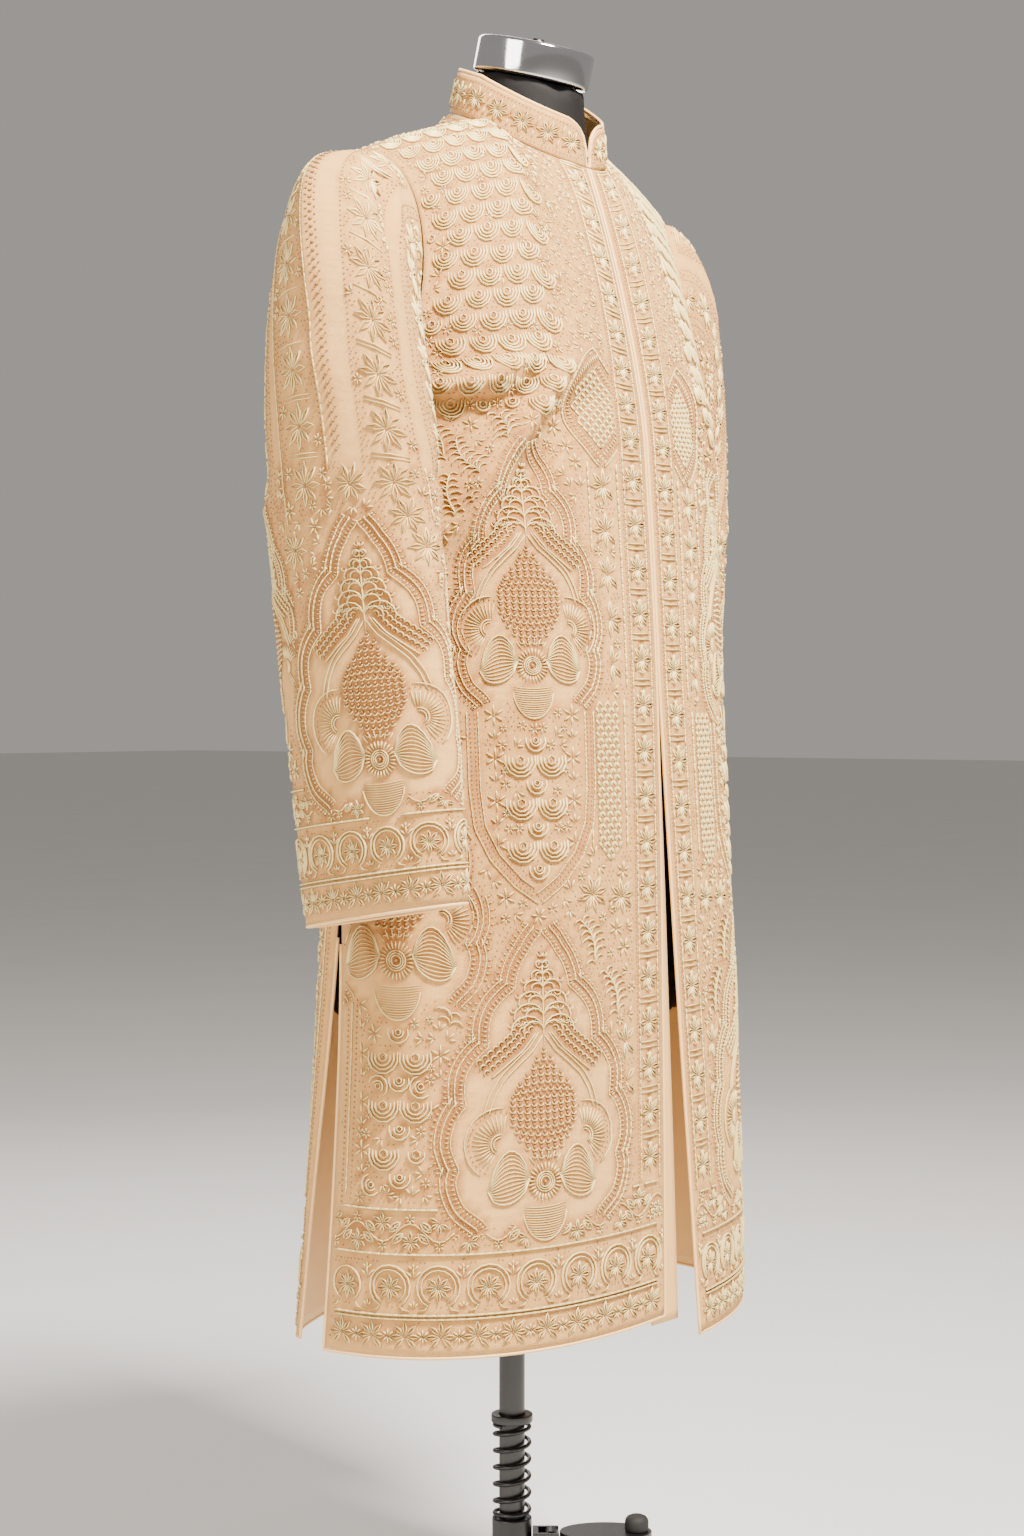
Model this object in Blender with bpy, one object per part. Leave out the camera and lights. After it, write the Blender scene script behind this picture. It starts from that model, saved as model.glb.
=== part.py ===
"""Sherwani coat worn on a limbless dress form that slides on a sprung pedal stand.

Metres, +Z up, the wearer faces -Y, so the wearer's right hand side is -X.
The floor is z = 0 and the pole stands on x = y = 0.
"""
import math

import bmesh
import bpy
import numpy as np

# ---------------------------------------------------------------- driving sizes
GAP = 0.0003              # clearance left at seams and between hard pieces
CLOTH = 0.0020            # wall of the embroidered body panels and sleeves
STRIP = 0.0015            # wall of the plain underlap strip
COLLAR = 0.0028           # wall of the stiffened collar
PIPE = 0.0014             # radius of the piping cord

HEM_Z = 0.345             # lower edge of the coat
SLIT_Z = 0.700            # top of the side slits
UNDERARM_Z = 1.060        # level where the armholes begin
PART_Z = 0.880            # fronts are fastened above this level and part below it
SLIT_GAP = 0.044          # how far apart front and back edges hang at the hem
SLIT_STEP = 0.018         # how far inside the front the back edge hangs at the hem
FRONT_EDGE = 0.0036       # panel edge to the centre line while fastened
LEFT_SWING = 0.034        # how far the left front edge swings out at the hem
LEFT_LIFT = 0.010         # how far that corner stands forward
HEM_RISE = {"right": 0.012, "left": -0.008}    # hem at the centre front against the side

NECK_HALF = 0.071         # half width of the neckline
NECK_MID_Y = -0.014       # neckline: where the shoulder seam meets it
NECK_FRONT = (-0.081, 1.3000)   # y and z of the neckline at the centre front
NECK_BACK = (0.045, 1.3580)     # y and z of the neckline at the nape
NECK_SIDE_Z = 1.3375
TIP = (0.222, -0.004, 1.2840)   # end of the shoulder seam
NECK_SHARE = 0.40         # share of a panel's columns that end on the neckline
ARMHOLE = {"front": 0.215, "back": 0.150}    # how deep the armhole cuts in

COLLAR_TALL = 0.034       # height of the stand collar
COLLAR_ROUND = 0.024      # rounding of its front ends

FORM_CLEAR = 0.0075       # cloth to dress form
FORM_BOTTOM_Z = 0.600
NECK_R = 0.0470
CAP_R = 0.0495
CAP_TALL = 0.029
CAP_CENTRE = (0.0, -0.0235, 1.3950)
CAP_TILT = math.radians(14.0)

POLE_R = 0.0110
POLE_BOTTOM_Z = 0.032
TUBE_R = 0.0170
TUBE_BORE = 0.0122
TUBE_TOP_Z = 0.160
SPRING_TOP_Z = 0.242
SPRING_R = 0.0150
SPRING_WIRE = 0.0018
SPRING_TURNS = 5.0
BASE_R = 0.205
BASE_TOP_Z = 0.026
PEDAL_TURN = math.radians(-52.0)    # the pedal points this way from the pole
PIVOT_OUT = 0.0340
PIVOT_Z = 0.1430

ROWS_LOW = 17             # rows of facets from hem to underarm
ROWS_HIGH = 8             # rows of facets from underarm to shoulder
ROWS_CAP = 6              # rows of facets in the sleeve head
ROWS_SLEEVE = 9           # rows of facets below it
COLS_FRONT = 10
COLS_BACK = 8             # each side of the centre back
FINE = 4                  # normals are read from a grid this much finer
CORD_SIDES = 5

# Level rings of the coat body, one row per height. The last two columns are the
# roundness of the front and back halves: 2 is an ellipse, more is squarer.
BODY_COLUMNS = ("z", "right", "left", "front", "back", "seam", "square_f", "square_b")
BODY = np.array([
    (0.345, 0.224, 0.231, -0.161, 0.126, 0.036, 2.45, 1.52),
    (0.480, 0.221, 0.227, -0.160, 0.119, 0.022, 2.45, 1.60),
    (0.620, 0.216, 0.220, -0.158, 0.112, 0.011, 2.45, 1.70),
    (0.740, 0.211, 0.213, -0.156, 0.106, 0.006, 2.40, 1.80),
    (0.870, 0.205, 0.206, -0.152, 0.100, 0.004, 2.35, 1.95),
    (0.960, 0.201, 0.202, -0.147, 0.104, 0.003, 2.35, 2.10),
    (1.060, 0.198, 0.199, -0.140, 0.116, 0.002, 2.35, 2.25),
])

# Sleeve sections below the sleeve head, one row per height, sizes from the pole.
SLEEVE_COLUMNS = ("z", "out", "y", "half_x", "half_y")
SLEEVE = {
    "right": np.array([
        (0.696, 0.2520, -0.075, 0.0320, 0.0750),
        (0.800, 0.2505, -0.063, 0.0345, 0.0770),
        (0.910, 0.2490, -0.048, 0.0365, 0.0785),
        (1.020, 0.2470, -0.036, 0.0385, 0.0790),
    ]),
    "left": np.array([
        (0.696, 0.2540, 0.032, 0.0320, 0.0660),
        (0.800, 0.2520, 0.030, 0.0340, 0.0680),
        (0.910, 0.2495, 0.028, 0.0360, 0.0700),
        (1.020, 0.2470, 0.022, 0.0380, 0.0710),
    ]),
}
CUFF_SLANT = 0.165        # rise of the cuff per metre towards the front

# Largest soft folds, one row per fold. Across is measured along the cloth from the
# centre line, turn is the slope of the fold, push is its height (minus for a hollow).
FOLD_COLUMNS = ("across", "z", "turn", "long", "wide", "push")
FOLDS = {
    "front_right": (
        (0.110, 1.075, 52.0, 0.085, 0.016, 0.0045),
        (0.165, 1.070, 50.0, 0.080, 0.032, -0.0040),
        (0.100, 0.965, 25.0, 0.060, 0.016, 0.0025),
        (0.120, 0.560, 80.0, 0.120, 0.030, -0.0025),
    ),
    "front_left": (
        (0.120, 1.050, 48.0, 0.075, 0.018, 0.0035),
        (0.110, 0.560, 85.0, 0.130, 0.030, -0.0025),
    ),
    "back_right": (
        (0.070, 0.880, 30.0, 0.080, 0.018, 0.0030),
        (0.110, 0.540, 86.0, 0.140, 0.030, 0.0030),
    ),
    "back_left": (
        (0.080, 0.900, 34.0, 0.080, 0.018, 0.0030),
        (0.100, 0.520, 88.0, 0.140, 0.030, 0.0030),
    ),
}


# ---------------------------------------------------------------- small helpers
def clear_scene():
    """Remove every object the file opened with."""
    for item in list(bpy.data.objects):
        bpy.data.objects.remove(item, do_unlink=True)


def material(name, colour, roughness, metallic=0.0):
    """One Principled material."""
    made = bpy.data.materials.new(name)
    made.use_nodes = True
    shader = made.node_tree.nodes["Principled BSDF"]
    shader.inputs["Base Color"].default_value = (*colour, 1.0)
    shader.inputs["Roughness"].default_value = roughness
    shader.inputs["Metallic"].default_value = metallic
    return made


def solid(name, verts, faces, made_of, origin=(0.0, 0.0, 0.0), weld=0.0):
    """One closed mesh object with its faces turned outwards."""
    shift = np.asarray(origin, dtype=float)
    points = (np.asarray(verts, dtype=float).reshape(-1, 3) - shift).tolist()
    mesh = bpy.data.meshes.new(name)
    mesh.from_pydata(points, [], [tuple(int(i) for i in face) for face in faces])
    work = bmesh.new()
    work.from_mesh(mesh)
    if weld > 0.0:
        bmesh.ops.remove_doubles(work, verts=work.verts, dist=weld)
    bmesh.ops.recalc_face_normals(work, faces=work.faces)
    if work.calc_volume(signed=True) < 0.0:
        bmesh.ops.reverse_faces(work, faces=work.faces)
    work.to_mesh(mesh)
    work.free()
    mesh.materials.append(made_of)
    item = bpy.data.objects.new(name, mesh)
    item.location = tuple(origin)
    bpy.context.scene.collection.objects.link(item)
    return item


def smooth(at, known_at, known):
    """Cubic curve through a short table, slopes taken from its neighbours."""
    at = np.clip(np.asarray(at, dtype=float), known_at[0], known_at[-1])
    slope = np.gradient(known, known_at)
    cell = np.clip(np.searchsorted(known_at, at) - 1, 0, len(known_at) - 2)
    width = known_at[cell + 1] - known_at[cell]
    w = (at - known_at[cell]) / width
    return hermite(known[cell], slope[cell] * width, known[cell + 1], slope[cell + 1] * width, w)


def hermite(start, leave, end, arrive, w):
    """Cubic from start to end with the two end tangents, at share w."""
    a = 2.0 * w ** 3 - 3.0 * w ** 2 + 1.0
    b = w ** 3 - 2.0 * w ** 2 + w
    c = 3.0 * w ** 2 - 2.0 * w ** 3
    d = w ** 3 - w ** 2
    return a * start + b * leave + c * end + d * arrive


def unit(vectors):
    """Vectors of length one."""
    return vectors / np.maximum(np.linalg.norm(vectors, axis=-1, keepdims=True), 1e-12)


def grid_faces(rows, cols, wrap):
    """Quads of a grid of points, closed round its columns when wrap is true."""
    faces = []
    for row in range(rows - 1):
        for col in range(cols if wrap else cols - 1):
            after = (col + 1) % cols
            here = row * cols
            above = here + cols
            faces.append((here + col, here + after, above + after, above + col))
    return faces


def grid_normals(points, wrap, middle):
    """Unit normals of a grid of points, turned away from the middle."""
    if wrap:
        along = np.roll(points, -1, axis=1) - np.roll(points, 1, axis=1)
    else:
        along = np.gradient(points, axis=1, edge_order=2)
    normal = unit(np.cross(along, np.gradient(points, axis=0, edge_order=2)))
    if np.sum(normal * (points - middle)) < 0.0:
        normal = -normal
    return normal


def shell(name, grid, wall, made_of, middle, wrap=False, step=1):
    """Cloth of one wall thickness whose outer face is every step-th point of a grid.

    Returns the points half way through the wall.
    """
    outer = grid[::step, ::step]
    inner = outer - grid_normals(grid, wrap, middle)[::step, ::step] * wall
    rows, cols = outer.shape[:2]
    count = rows * cols
    faces = grid_faces(rows, cols, wrap)
    faces += [tuple(index + count for index in reversed(face)) for face in faces]
    last = (rows - 1) * cols
    for col in range(cols if wrap else cols - 1):
        after = (col + 1) % cols
        faces.append((after, col, count + col, count + after))
        faces.append((last + col, last + after, count + last + after, count + last + col))
    if not wrap:
        for row in range(rows - 1):
            here = row * cols
            above = here + cols
            faces.append((here, above, count + above, count + here))
            end = here + cols - 1
            faces.append((end + cols, end, count + end, count + end + cols))
    solid(name, np.concatenate([outer.reshape(-1, 3), inner.reshape(-1, 3)]), faces, made_of)
    return (outer + inner) * 0.5


def tube(name, path, radius, made_of, closed=False):
    """Round cord along a path of points, its ends capped unless the path closes."""
    sides = CORD_SIDES
    path = np.asarray(path, dtype=float)
    if closed:
        ahead = unit(np.roll(path, -1, axis=0) - np.roll(path, 1, axis=0))
    else:
        ahead = unit(np.gradient(path, axis=0))
    across = np.zeros_like(path)
    guide = np.array((0.0, 0.0, 1.0)) if abs(ahead[0][2]) < 0.9 else np.array((1.0, 0.0, 0.0))
    across[0] = unit(np.cross(ahead[0], guide))
    for step in range(1, len(path)):
        held = across[step - 1] - ahead[step] * np.dot(across[step - 1], ahead[step])
        across[step] = unit(held)
    third = np.cross(ahead, across)
    angle = np.arange(sides) * 2.0 * math.pi / sides
    if closed:
        held = across[-1] - ahead[0] * np.dot(across[-1], ahead[0])
        twist = math.atan2(np.dot(held, third[0]), np.dot(held, across[0]))
        turn = -twist * np.arange(len(path)) / len(path)
    else:
        turn = np.zeros(len(path))
    around = angle[None, :] + turn[:, None]
    rings = (path[:, None, :] + radius * (np.cos(around)[..., None] * across[:, None, :]
             + np.sin(around)[..., None] * third[:, None, :]))
    faces = grid_faces(len(path), sides, True)
    if closed:
        last = (len(path) - 1) * sides
        for col in range(sides):
            after = (col + 1) % sides
            faces.append((last + col, last + after, after, col))
    else:
        faces.append(tuple(reversed(range(sides))))
        faces.append(tuple((len(path) - 1) * sides + col for col in range(sides)))
    solid(name, rings, faces, made_of)


def lathe(name, profile, segments, made_of, origin=(0.0, 0.0, 0.0), tilt=0.0, ring=False):
    """Turned solid: (radius, height) rows round +Z at the origin, tilted forwards.

    A ring's profile closes on itself; any other profile starts and ends on the axis.
    """
    profile = np.asarray(profile, dtype=float)
    angle = np.arange(segments) * 2.0 * math.pi / segments
    if not ring:
        inner = profile[1:-1]
    else:
        inner = profile
    x = inner[:, 0, None] * np.cos(angle)
    y = inner[:, 0, None] * np.sin(angle)
    z = np.repeat(inner[:, 1, None], segments, axis=1)
    points = np.stack([x, y, z], axis=-1).reshape(-1, 3)
    faces = grid_faces(len(inner), segments, True)
    last = (len(inner) - 1) * segments
    if ring:
        for col in range(segments):
            after = (col + 1) % segments
            faces.append((last + col, last + after, after, col))
    else:
        faces.append(tuple(reversed(range(segments))))
        faces.append(tuple(last + col for col in range(segments)))
    turned = points.copy()
    turned[:, 1] = points[:, 1] * math.cos(tilt) - points[:, 2] * math.sin(tilt)
    turned[:, 2] = points[:, 1] * math.sin(tilt) + points[:, 2] * math.cos(tilt)
    return solid(name, turned + np.asarray(origin), faces, made_of, origin)


def prism(name, outline, low, high, made_of, origin, turn):
    """Upright solid over a plan outline, turned about the pole and given an origin."""
    outline = np.asarray(outline, dtype=float)
    x = outline[:, 0] * math.cos(turn) - outline[:, 1] * math.sin(turn)
    y = outline[:, 0] * math.sin(turn) + outline[:, 1] * math.cos(turn)
    count = len(outline)
    bottom = np.stack([x, y, np.full(count, low)], axis=-1)
    top = np.stack([x, y, np.full(count, high)], axis=-1)
    faces = grid_faces(2, count, True)
    faces.append(tuple(reversed(range(count))))
    faces.append(tuple(range(count, 2 * count)))
    return solid(name, np.concatenate([bottom, top]), faces, made_of, origin)


# ---------------------------------------------------------------- the coat's form
def size(name, z):
    """One column of the BODY table at the heights z."""
    return smooth(z, BODY[:, 0], BODY[:, BODY_COLUMNS.index(name)])


def parted(z):
    """0 where the fronts are fastened, 1 at the hem."""
    return np.clip((PART_Z - z) / (PART_Z - HEM_Z), 0.0, 1.0)


def level(z, u, side, face, inset=0.0):
    """Points of the level rings: heights z (rows) by shares u (columns).

    u = 0 is the centre line and u = 1 the side; side is -1 for the wearer's right.
    Each ring is a rounded rectangle walked at even steps of its own length.
    """
    z = np.asarray(z, dtype=float)
    u = np.asarray(u, dtype=float)
    if u.ndim == 1:
        u = np.repeat(u[None, :], len(z), axis=0)
    open_share = np.clip((SLIT_Z - z) / (SLIT_Z - HEM_Z), 0.0, 1.0) ** 0.7
    toward = -1.0 if face == "front" else 1.0
    seam = size("seam", z) + toward * 0.5 * SLIT_GAP * open_share
    half = size("right" if side < 0 else "left", z) - inset
    middle = size(face, z) - toward * inset
    start = np.full(len(z), FRONT_EDGE if face == "front" else 0.0)
    if face == "front" and side > 0:
        start = start + LEFT_SWING * parted(z) ** 1.2
    if face == "back":
        half = half - SLIT_STEP * open_share
    if inset > 0.0:
        start = start * 0.0
    power = 2.0 / size("square_f" if face == "front" else "square_b", z)[:, None]
    begin = np.arcsin((start / half)[:, None] ** (1.0 / power))
    fine = np.linspace(0.0, 1.0, 161)
    angle = begin + (0.5 * math.pi - begin) * fine[None, :]
    x = half[:, None] * np.sin(angle) ** power
    bow = np.abs(np.cos(angle)) ** power
    y = seam[:, None] + (middle - seam)[:, None] * bow
    steps = np.hypot(np.diff(x, axis=1), np.diff(y, axis=1))
    gone = np.concatenate([np.zeros((len(z), 1)), np.cumsum(steps, axis=1)], axis=1)
    out = np.zeros((len(z), u.shape[1], 3))
    for row in range(len(z)):
        want = u[row] * gone[row, -1]
        out[row, :, 0] = side * np.interp(want, gone[row], x[row])
        out[row, :, 1] = np.interp(want, gone[row], y[row])
        out[row, :, 2] = z[row]
    if face == "front" and inset == 0.0:
        low = (np.clip(UNDERARM_Z - z, 0.0, 1.0) / (UNDERARM_Z - HEM_Z))[:, None] ** 2
        out[..., 2] += HEM_RISE["right" if side < 0 else "left"] * low * (1.0 - u) ** 1.3
    if face == "front" and side > 0 and inset == 0.0:
        out[..., 1] -= LEFT_LIFT * (parted(z)[:, None] ** 1.5) * (1.0 - u) ** 2
    return out


def top_line(u, side, face, inset=0.0):
    """Top of the panels: the neckline up to its share, then the shoulder seam."""
    middle_y, middle_z = NECK_FRONT if face == "front" else NECK_BACK
    begin = math.asin(FRONT_EDGE / NECK_HALF) if face == "front" and inset == 0.0 else 0.0
    turn = begin + (0.5 * math.pi - begin) * np.clip(u / NECK_SHARE, 0.0, 1.0)
    out = np.clip((u - NECK_SHARE) / (1.0 - NECK_SHARE), 0.0, 1.0)
    half = NECK_HALF - inset
    x = half * np.sin(turn) + (TIP[0] - inset - half) * out
    y = NECK_MID_Y + (middle_y - NECK_MID_Y) * (1.0 - inset / 0.09) * np.cos(turn)
    y = y + (TIP[1] - NECK_MID_Y) * out
    z = NECK_SIDE_Z + (middle_z - NECK_SIDE_Z) * np.cos(turn) - inset
    z = z + (TIP[2] - NECK_SIDE_Z) * out + 0.003 * np.sin(math.pi * out)
    return np.stack([side * x, y, z], axis=-1)


def yoke(u, rise, side, face, inset=0.0):
    """Panel above the underarm: shares u (rows by columns) at one rise for each row.

    Each column is a cubic that leaves the underarm ring along the body and arrives at
    the top line leaning over the shoulder.
    """
    u = np.asarray(u, dtype=float)
    flat = u.reshape(-1)
    low = level(np.array([UNDERARM_Z]), flat, side, face, inset)[0]
    below = level(np.array([UNDERARM_Z - 0.02]), flat, side, face, inset)[0]
    top = top_line(flat, side, face, inset)
    reach = np.linalg.norm(top - low, axis=-1, keepdims=True)
    leave = (low - below) / 0.02 * reach * 0.9
    leave[:, 0] *= 0.3
    back = 1.0 if face == "front" else -1.0
    on_neck = 1.0 - np.clip(flat / NECK_SHARE, 0.0, 1.0)
    steep = 0.95 if face == "front" else 1.0
    lean = np.stack([np.zeros_like(flat), back * (1.0 - 0.62 * on_neck), steep * on_neck], axis=-1)
    arrive = lean / np.linalg.norm(lean, axis=-1, keepdims=True) * reach * 0.62
    w = np.repeat(rise[:, None], u.shape[1], axis=1).reshape(-1, 1)
    points = hermite(low, leave, top, arrive, w)
    return points.reshape(u.shape + (3,))


def armhole(rise, face):
    """Share of the columns left by the armhole at each share of the rise."""
    return 1.0 - ARMHOLE[face] * np.sin(math.pi * rise) ** 0.75


def folded(points, side, face):
    """Push the largest folds into a panel along its normals."""
    rows = FOLDS[face + ("_right" if side < 0 else "_left")]
    normal = grid_normals(points, False, np.array((0.0, -0.02, 0.9)))
    steps = np.linalg.norm(np.diff(points, axis=1), axis=-1)
    across = np.concatenate([np.zeros((len(points), 1)), np.cumsum(steps, axis=1)], axis=1)
    push = np.zeros(points.shape[:2])
    for at, z, turn, long_, wide, tall in rows:
        angle = math.radians(turn)
        dx = across - at
        dz = points[..., 2] - z
        along = dx * math.cos(angle) - dz * math.sin(angle)
        beside = dx * math.sin(angle) + dz * math.cos(angle)
        push = push + tall * np.exp(-(along / long_) ** 2 - (beside / wide) ** 2)
    return points + normal * push[..., None]


def panel(side, face, cols):
    """Fine grid of points of half the coat: rows from the hem, columns from the centre."""
    share = np.linspace(0.0, 1.0, cols * FINE + 1) * (1.0 - 0.0006)
    z = np.linspace(HEM_Z, UNDERARM_Z, ROWS_LOW * FINE + 1)
    low = level(z, share, side, face)
    rise = np.linspace(0.0, 1.0, ROWS_HIGH * FINE + 1)
    keep = armhole(rise, face)
    rise = rise * (1.0 - 0.0007)
    high = yoke(share[None, :] * keep[:, None], rise, side, face)
    return folded(np.concatenate([low, high[1:]], axis=0), side, face)


def build_body(cloth, plain, trim):
    """The two fronts, the back, the underlap strip and the piping on their edges."""
    middle = np.array((0.0, -0.02, 0.9))
    for side, word in ((-1.0, "right"), (1.0, "left")):
        grid = panel(side, "front", COLS_FRONT)
        mid = shell("front_" + word, grid, CLOTH, cloth, middle, step=FINE)
        tube("piping_front_" + word, edge_path(mid, True), PIPE, trim)
    right = panel(-1.0, "back", COLS_BACK)
    left = panel(1.0, "back", COLS_BACK)
    grid = np.concatenate([right[:, ::-1], left[:, 1:]], axis=1)
    mid = shell("back", grid, CLOTH, cloth, middle, step=FINE)
    tube("piping_back", edge_path(mid, False), PIPE, trim)

    z = np.linspace(HEM_Z + 0.004, PART_Z + 0.05, 13)
    reach = 0.0015 + 0.0195 * parted(z) ** 1.1
    share = np.linspace(0.0, 1.0, 3)
    x = (reach + 0.016)[:, None] * share[None, :] - 0.016
    y = np.repeat((size("front", z) + CLOTH + 0.0011)[:, None], 3, axis=1)
    strip = np.stack([x, y, np.repeat(z[:, None], 3, axis=1)], axis=-1)
    shell("underlap_strip", strip, STRIP, plain, middle)


def edge_path(grid, whole_edge):
    """Cord path just outside a panel: down one edge, along the hem and up the other.

    A front's first edge is followed from the neck; the other edges only up the slit.
    """
    away = PIPE + GAP
    slit_rows = int(np.sum(grid[:, -1, 2] < SLIT_Z - 0.028))
    down = unit(grid[0] - grid[1]) * away
    first = unit(grid[:, 0] - grid[:, 1]) * away
    last = unit(grid[:, -1] - grid[:, -2]) * away
    rows = len(grid) if whole_edge else slit_rows
    start = (grid[:rows, 0] + first[:rows])[::-1]
    start[-1] = start[-1] + down[0]
    along = grid[0, 1:-1] + down[1:-1]
    end = grid[:slit_rows, -1] + last[:slit_rows]
    end[0] = end[0] + down[-1]
    return np.concatenate([start, along, end], axis=0)


def neckline(count):
    """Neckline points from the right front edge round the nape to the left front edge."""
    share = np.linspace(0.0, NECK_SHARE, count)
    right_front = top_line(share, -1.0, "front")
    right_back = top_line(share, -1.0, "back")
    left_front = top_line(share, 1.0, "front")
    left_back = top_line(share, 1.0, "back")
    return np.concatenate([right_front, right_back[::-1][1:], left_back[1:], left_front[::-1][1:]])


def build_collar(cloth, trim):
    """Stand collar with rounded front ends, and the cords on its top edge and seam."""
    base = neckline(7)
    centre = np.array((0.0, -0.018, 0.0))
    out = base - centre
    out[:, 2] = 0.0
    rise = np.stack([-2.0 * out[:, 0], -2.0 * out[:, 1] - 0.10, np.ones(len(base))], axis=-1)
    rise = unit(rise)
    steps = np.linalg.norm(np.diff(base, axis=0), axis=-1)
    gone = np.concatenate([[0.0], np.cumsum(steps)])
    from_end = np.minimum(gone, gone[-1] - gone)
    short = np.clip(COLLAR_ROUND - from_end, 0.0, COLLAR_ROUND)
    drop = COLLAR_ROUND - np.sqrt(COLLAR_ROUND ** 2 - short ** 2)
    tall = COLLAR_TALL - drop * 0.95
    share = np.linspace(0.0, 1.0, 4)
    grid = base[None] + rise[None] * (0.0009 + share[:, None, None] * tall[None, :, None])
    middle = np.array((0.0, -0.018, 1.36))
    mid = shell("collar", grid, COLLAR, cloth, middle)
    away = (PIPE + GAP) * 1.12
    first = unit(mid[:, 0] - mid[:, 1]) * away
    last = unit(mid[:, -1] - mid[:, -2]) * away
    run = unit(np.gradient(mid[-1], axis=0))
    square = unit(rise - run * np.sum(rise * run, axis=-1, keepdims=True))
    top = mid[-1] + square * away
    top[0] += first[-1]
    top[-1] += last[-1]
    path = np.concatenate([mid[:-1, 0] + first[:-1], top, (mid[:-1, -1] + last[:-1])[::-1]])
    tube("piping_collar", path, PIPE, trim)


def sleeve_ring(side, psi, z):
    """Sleeve sections at the heights z: psi = 0 faces the body, a quarter is the front."""
    word = "right" if side < 0 else "left"
    table = SLEEVE[word]
    read = {}
    for index, name in enumerate(SLEEVE_COLUMNS):
        read[name] = smooth(z, table[:, 0], table[:, index])[:, None]
    angle = 2.0 * math.pi * psi[None, :]
    cos = np.cos(angle)
    sin = np.sin(angle)
    power = 2.0 / 2.25
    across = np.sign(cos) * np.abs(cos) ** power
    along = np.sign(sin) * np.abs(sin) ** power
    x = side * (read["out"] - read["half_x"] * across)
    y = read["y"] - read["half_y"] * along
    slant = CUFF_SLANT * np.clip((table[-1, 0] - z) / 0.33, 0.0, 1.0)[:, None]
    height = z[:, None] + slant * read["half_y"] * along
    return np.stack([x, y, height], axis=-1)


def build_sleeve(side, cloth, trim):
    """Sleeve from the armhole seam over the sleeve head and down to the cuff."""
    word = "right" if side < 0 else "left"
    rise = np.linspace(0.0, 1.0, ROWS_HIGH + 1)
    front = yoke(armhole(rise, "front")[:, None], rise, side, "front")[:, 0]
    back = yoke(armhole(rise, "back")[:, None], rise, side, "back")[:, 0]
    loop = np.concatenate([front, back[::-1][1:-1]])
    psi = np.arange(len(loop)) / len(loop)
    crown = np.sin(math.pi * psi)[:, None] ** 2
    loop = loop + np.array((side * 0.0014, 0.0, 0.0)) + crown * np.array((0.0, 0.0, 0.0004))
    leave = np.zeros_like(loop)
    behind = np.clip(-np.sin(2.0 * math.pi * psi), 0.0, 1.0)
    leave[:, 0] = side * (0.03 + 0.21 * crown[:, 0])
    leave[:, 1] = -0.055 * np.sin(2.0 * math.pi * psi) + 0.045 * behind
    leave[:, 2] = 0.03 * crown[:, 0] - 0.03
    table = SLEEVE[word]
    low = sleeve_ring(side, psi, table[-1:, 0])[0]
    arrive = np.zeros_like(loop)
    arrive[:, 2] = -(0.05 + 0.45 * crown[:, 0])
    w = np.linspace(0.0, 1.0, ROWS_CAP + 1)[:, None, None]
    head = hermite(loop[None], leave[None], low[None], arrive[None], w)
    z = np.linspace(table[-1, 0], table[0, 0], ROWS_SLEEVE + 1)
    body = sleeve_ring(side, psi, z)
    grid = np.concatenate([head, body[1:]], axis=0)
    middle = grid.mean(axis=1, keepdims=True)
    mid = shell("sleeve_" + word, grid, CLOTH, cloth, middle, wrap=True)
    cuff = mid[-1] + np.array((0.0, 0.0, -(PIPE + GAP)))
    tube("piping_cuff_" + word, cuff, PIPE, trim, closed=True)


# ---------------------------------------------------------------- dress form
def tilted(vectors):
    """Turn vectors forwards by the tilt of the neck cap."""
    vectors = np.asarray(vectors, dtype=float)
    out = vectors.copy()
    out[..., 1] = vectors[..., 1] * math.cos(CAP_TILT) - vectors[..., 2] * math.sin(CAP_TILT)
    out[..., 2] = vectors[..., 1] * math.sin(CAP_TILT) + vectors[..., 2] * math.cos(CAP_TILT)
    return out


def torso_half(side, share, z, rise):
    """Half of the torso's rows, from the centre front round the arm cap to the back."""
    halves = {}
    for face in ("front", "back"):
        low = level(z, share, side, face, FORM_CLEAR)
        columns = np.repeat(share[None, :], len(rise), axis=0)
        high = yoke(columns, rise, side, face, FORM_CLEAR)
        halves[face] = np.concatenate([low, high])
    start = halves["front"][:, -1:]
    end = halves["back"][:, -1:]
    w = np.linspace(0.0, 1.0, 5)[None, 1:-1, None]
    width = np.linalg.norm(end - start, axis=-1, keepdims=True)
    bulge = np.sin(math.pi * w) * width * 0.12 * np.array((side, 0.0, 0.0))
    cap = start + (end - start) * w + bulge
    return np.concatenate([halves["front"], cap, halves["back"][:, ::-1]], axis=1)


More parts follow.
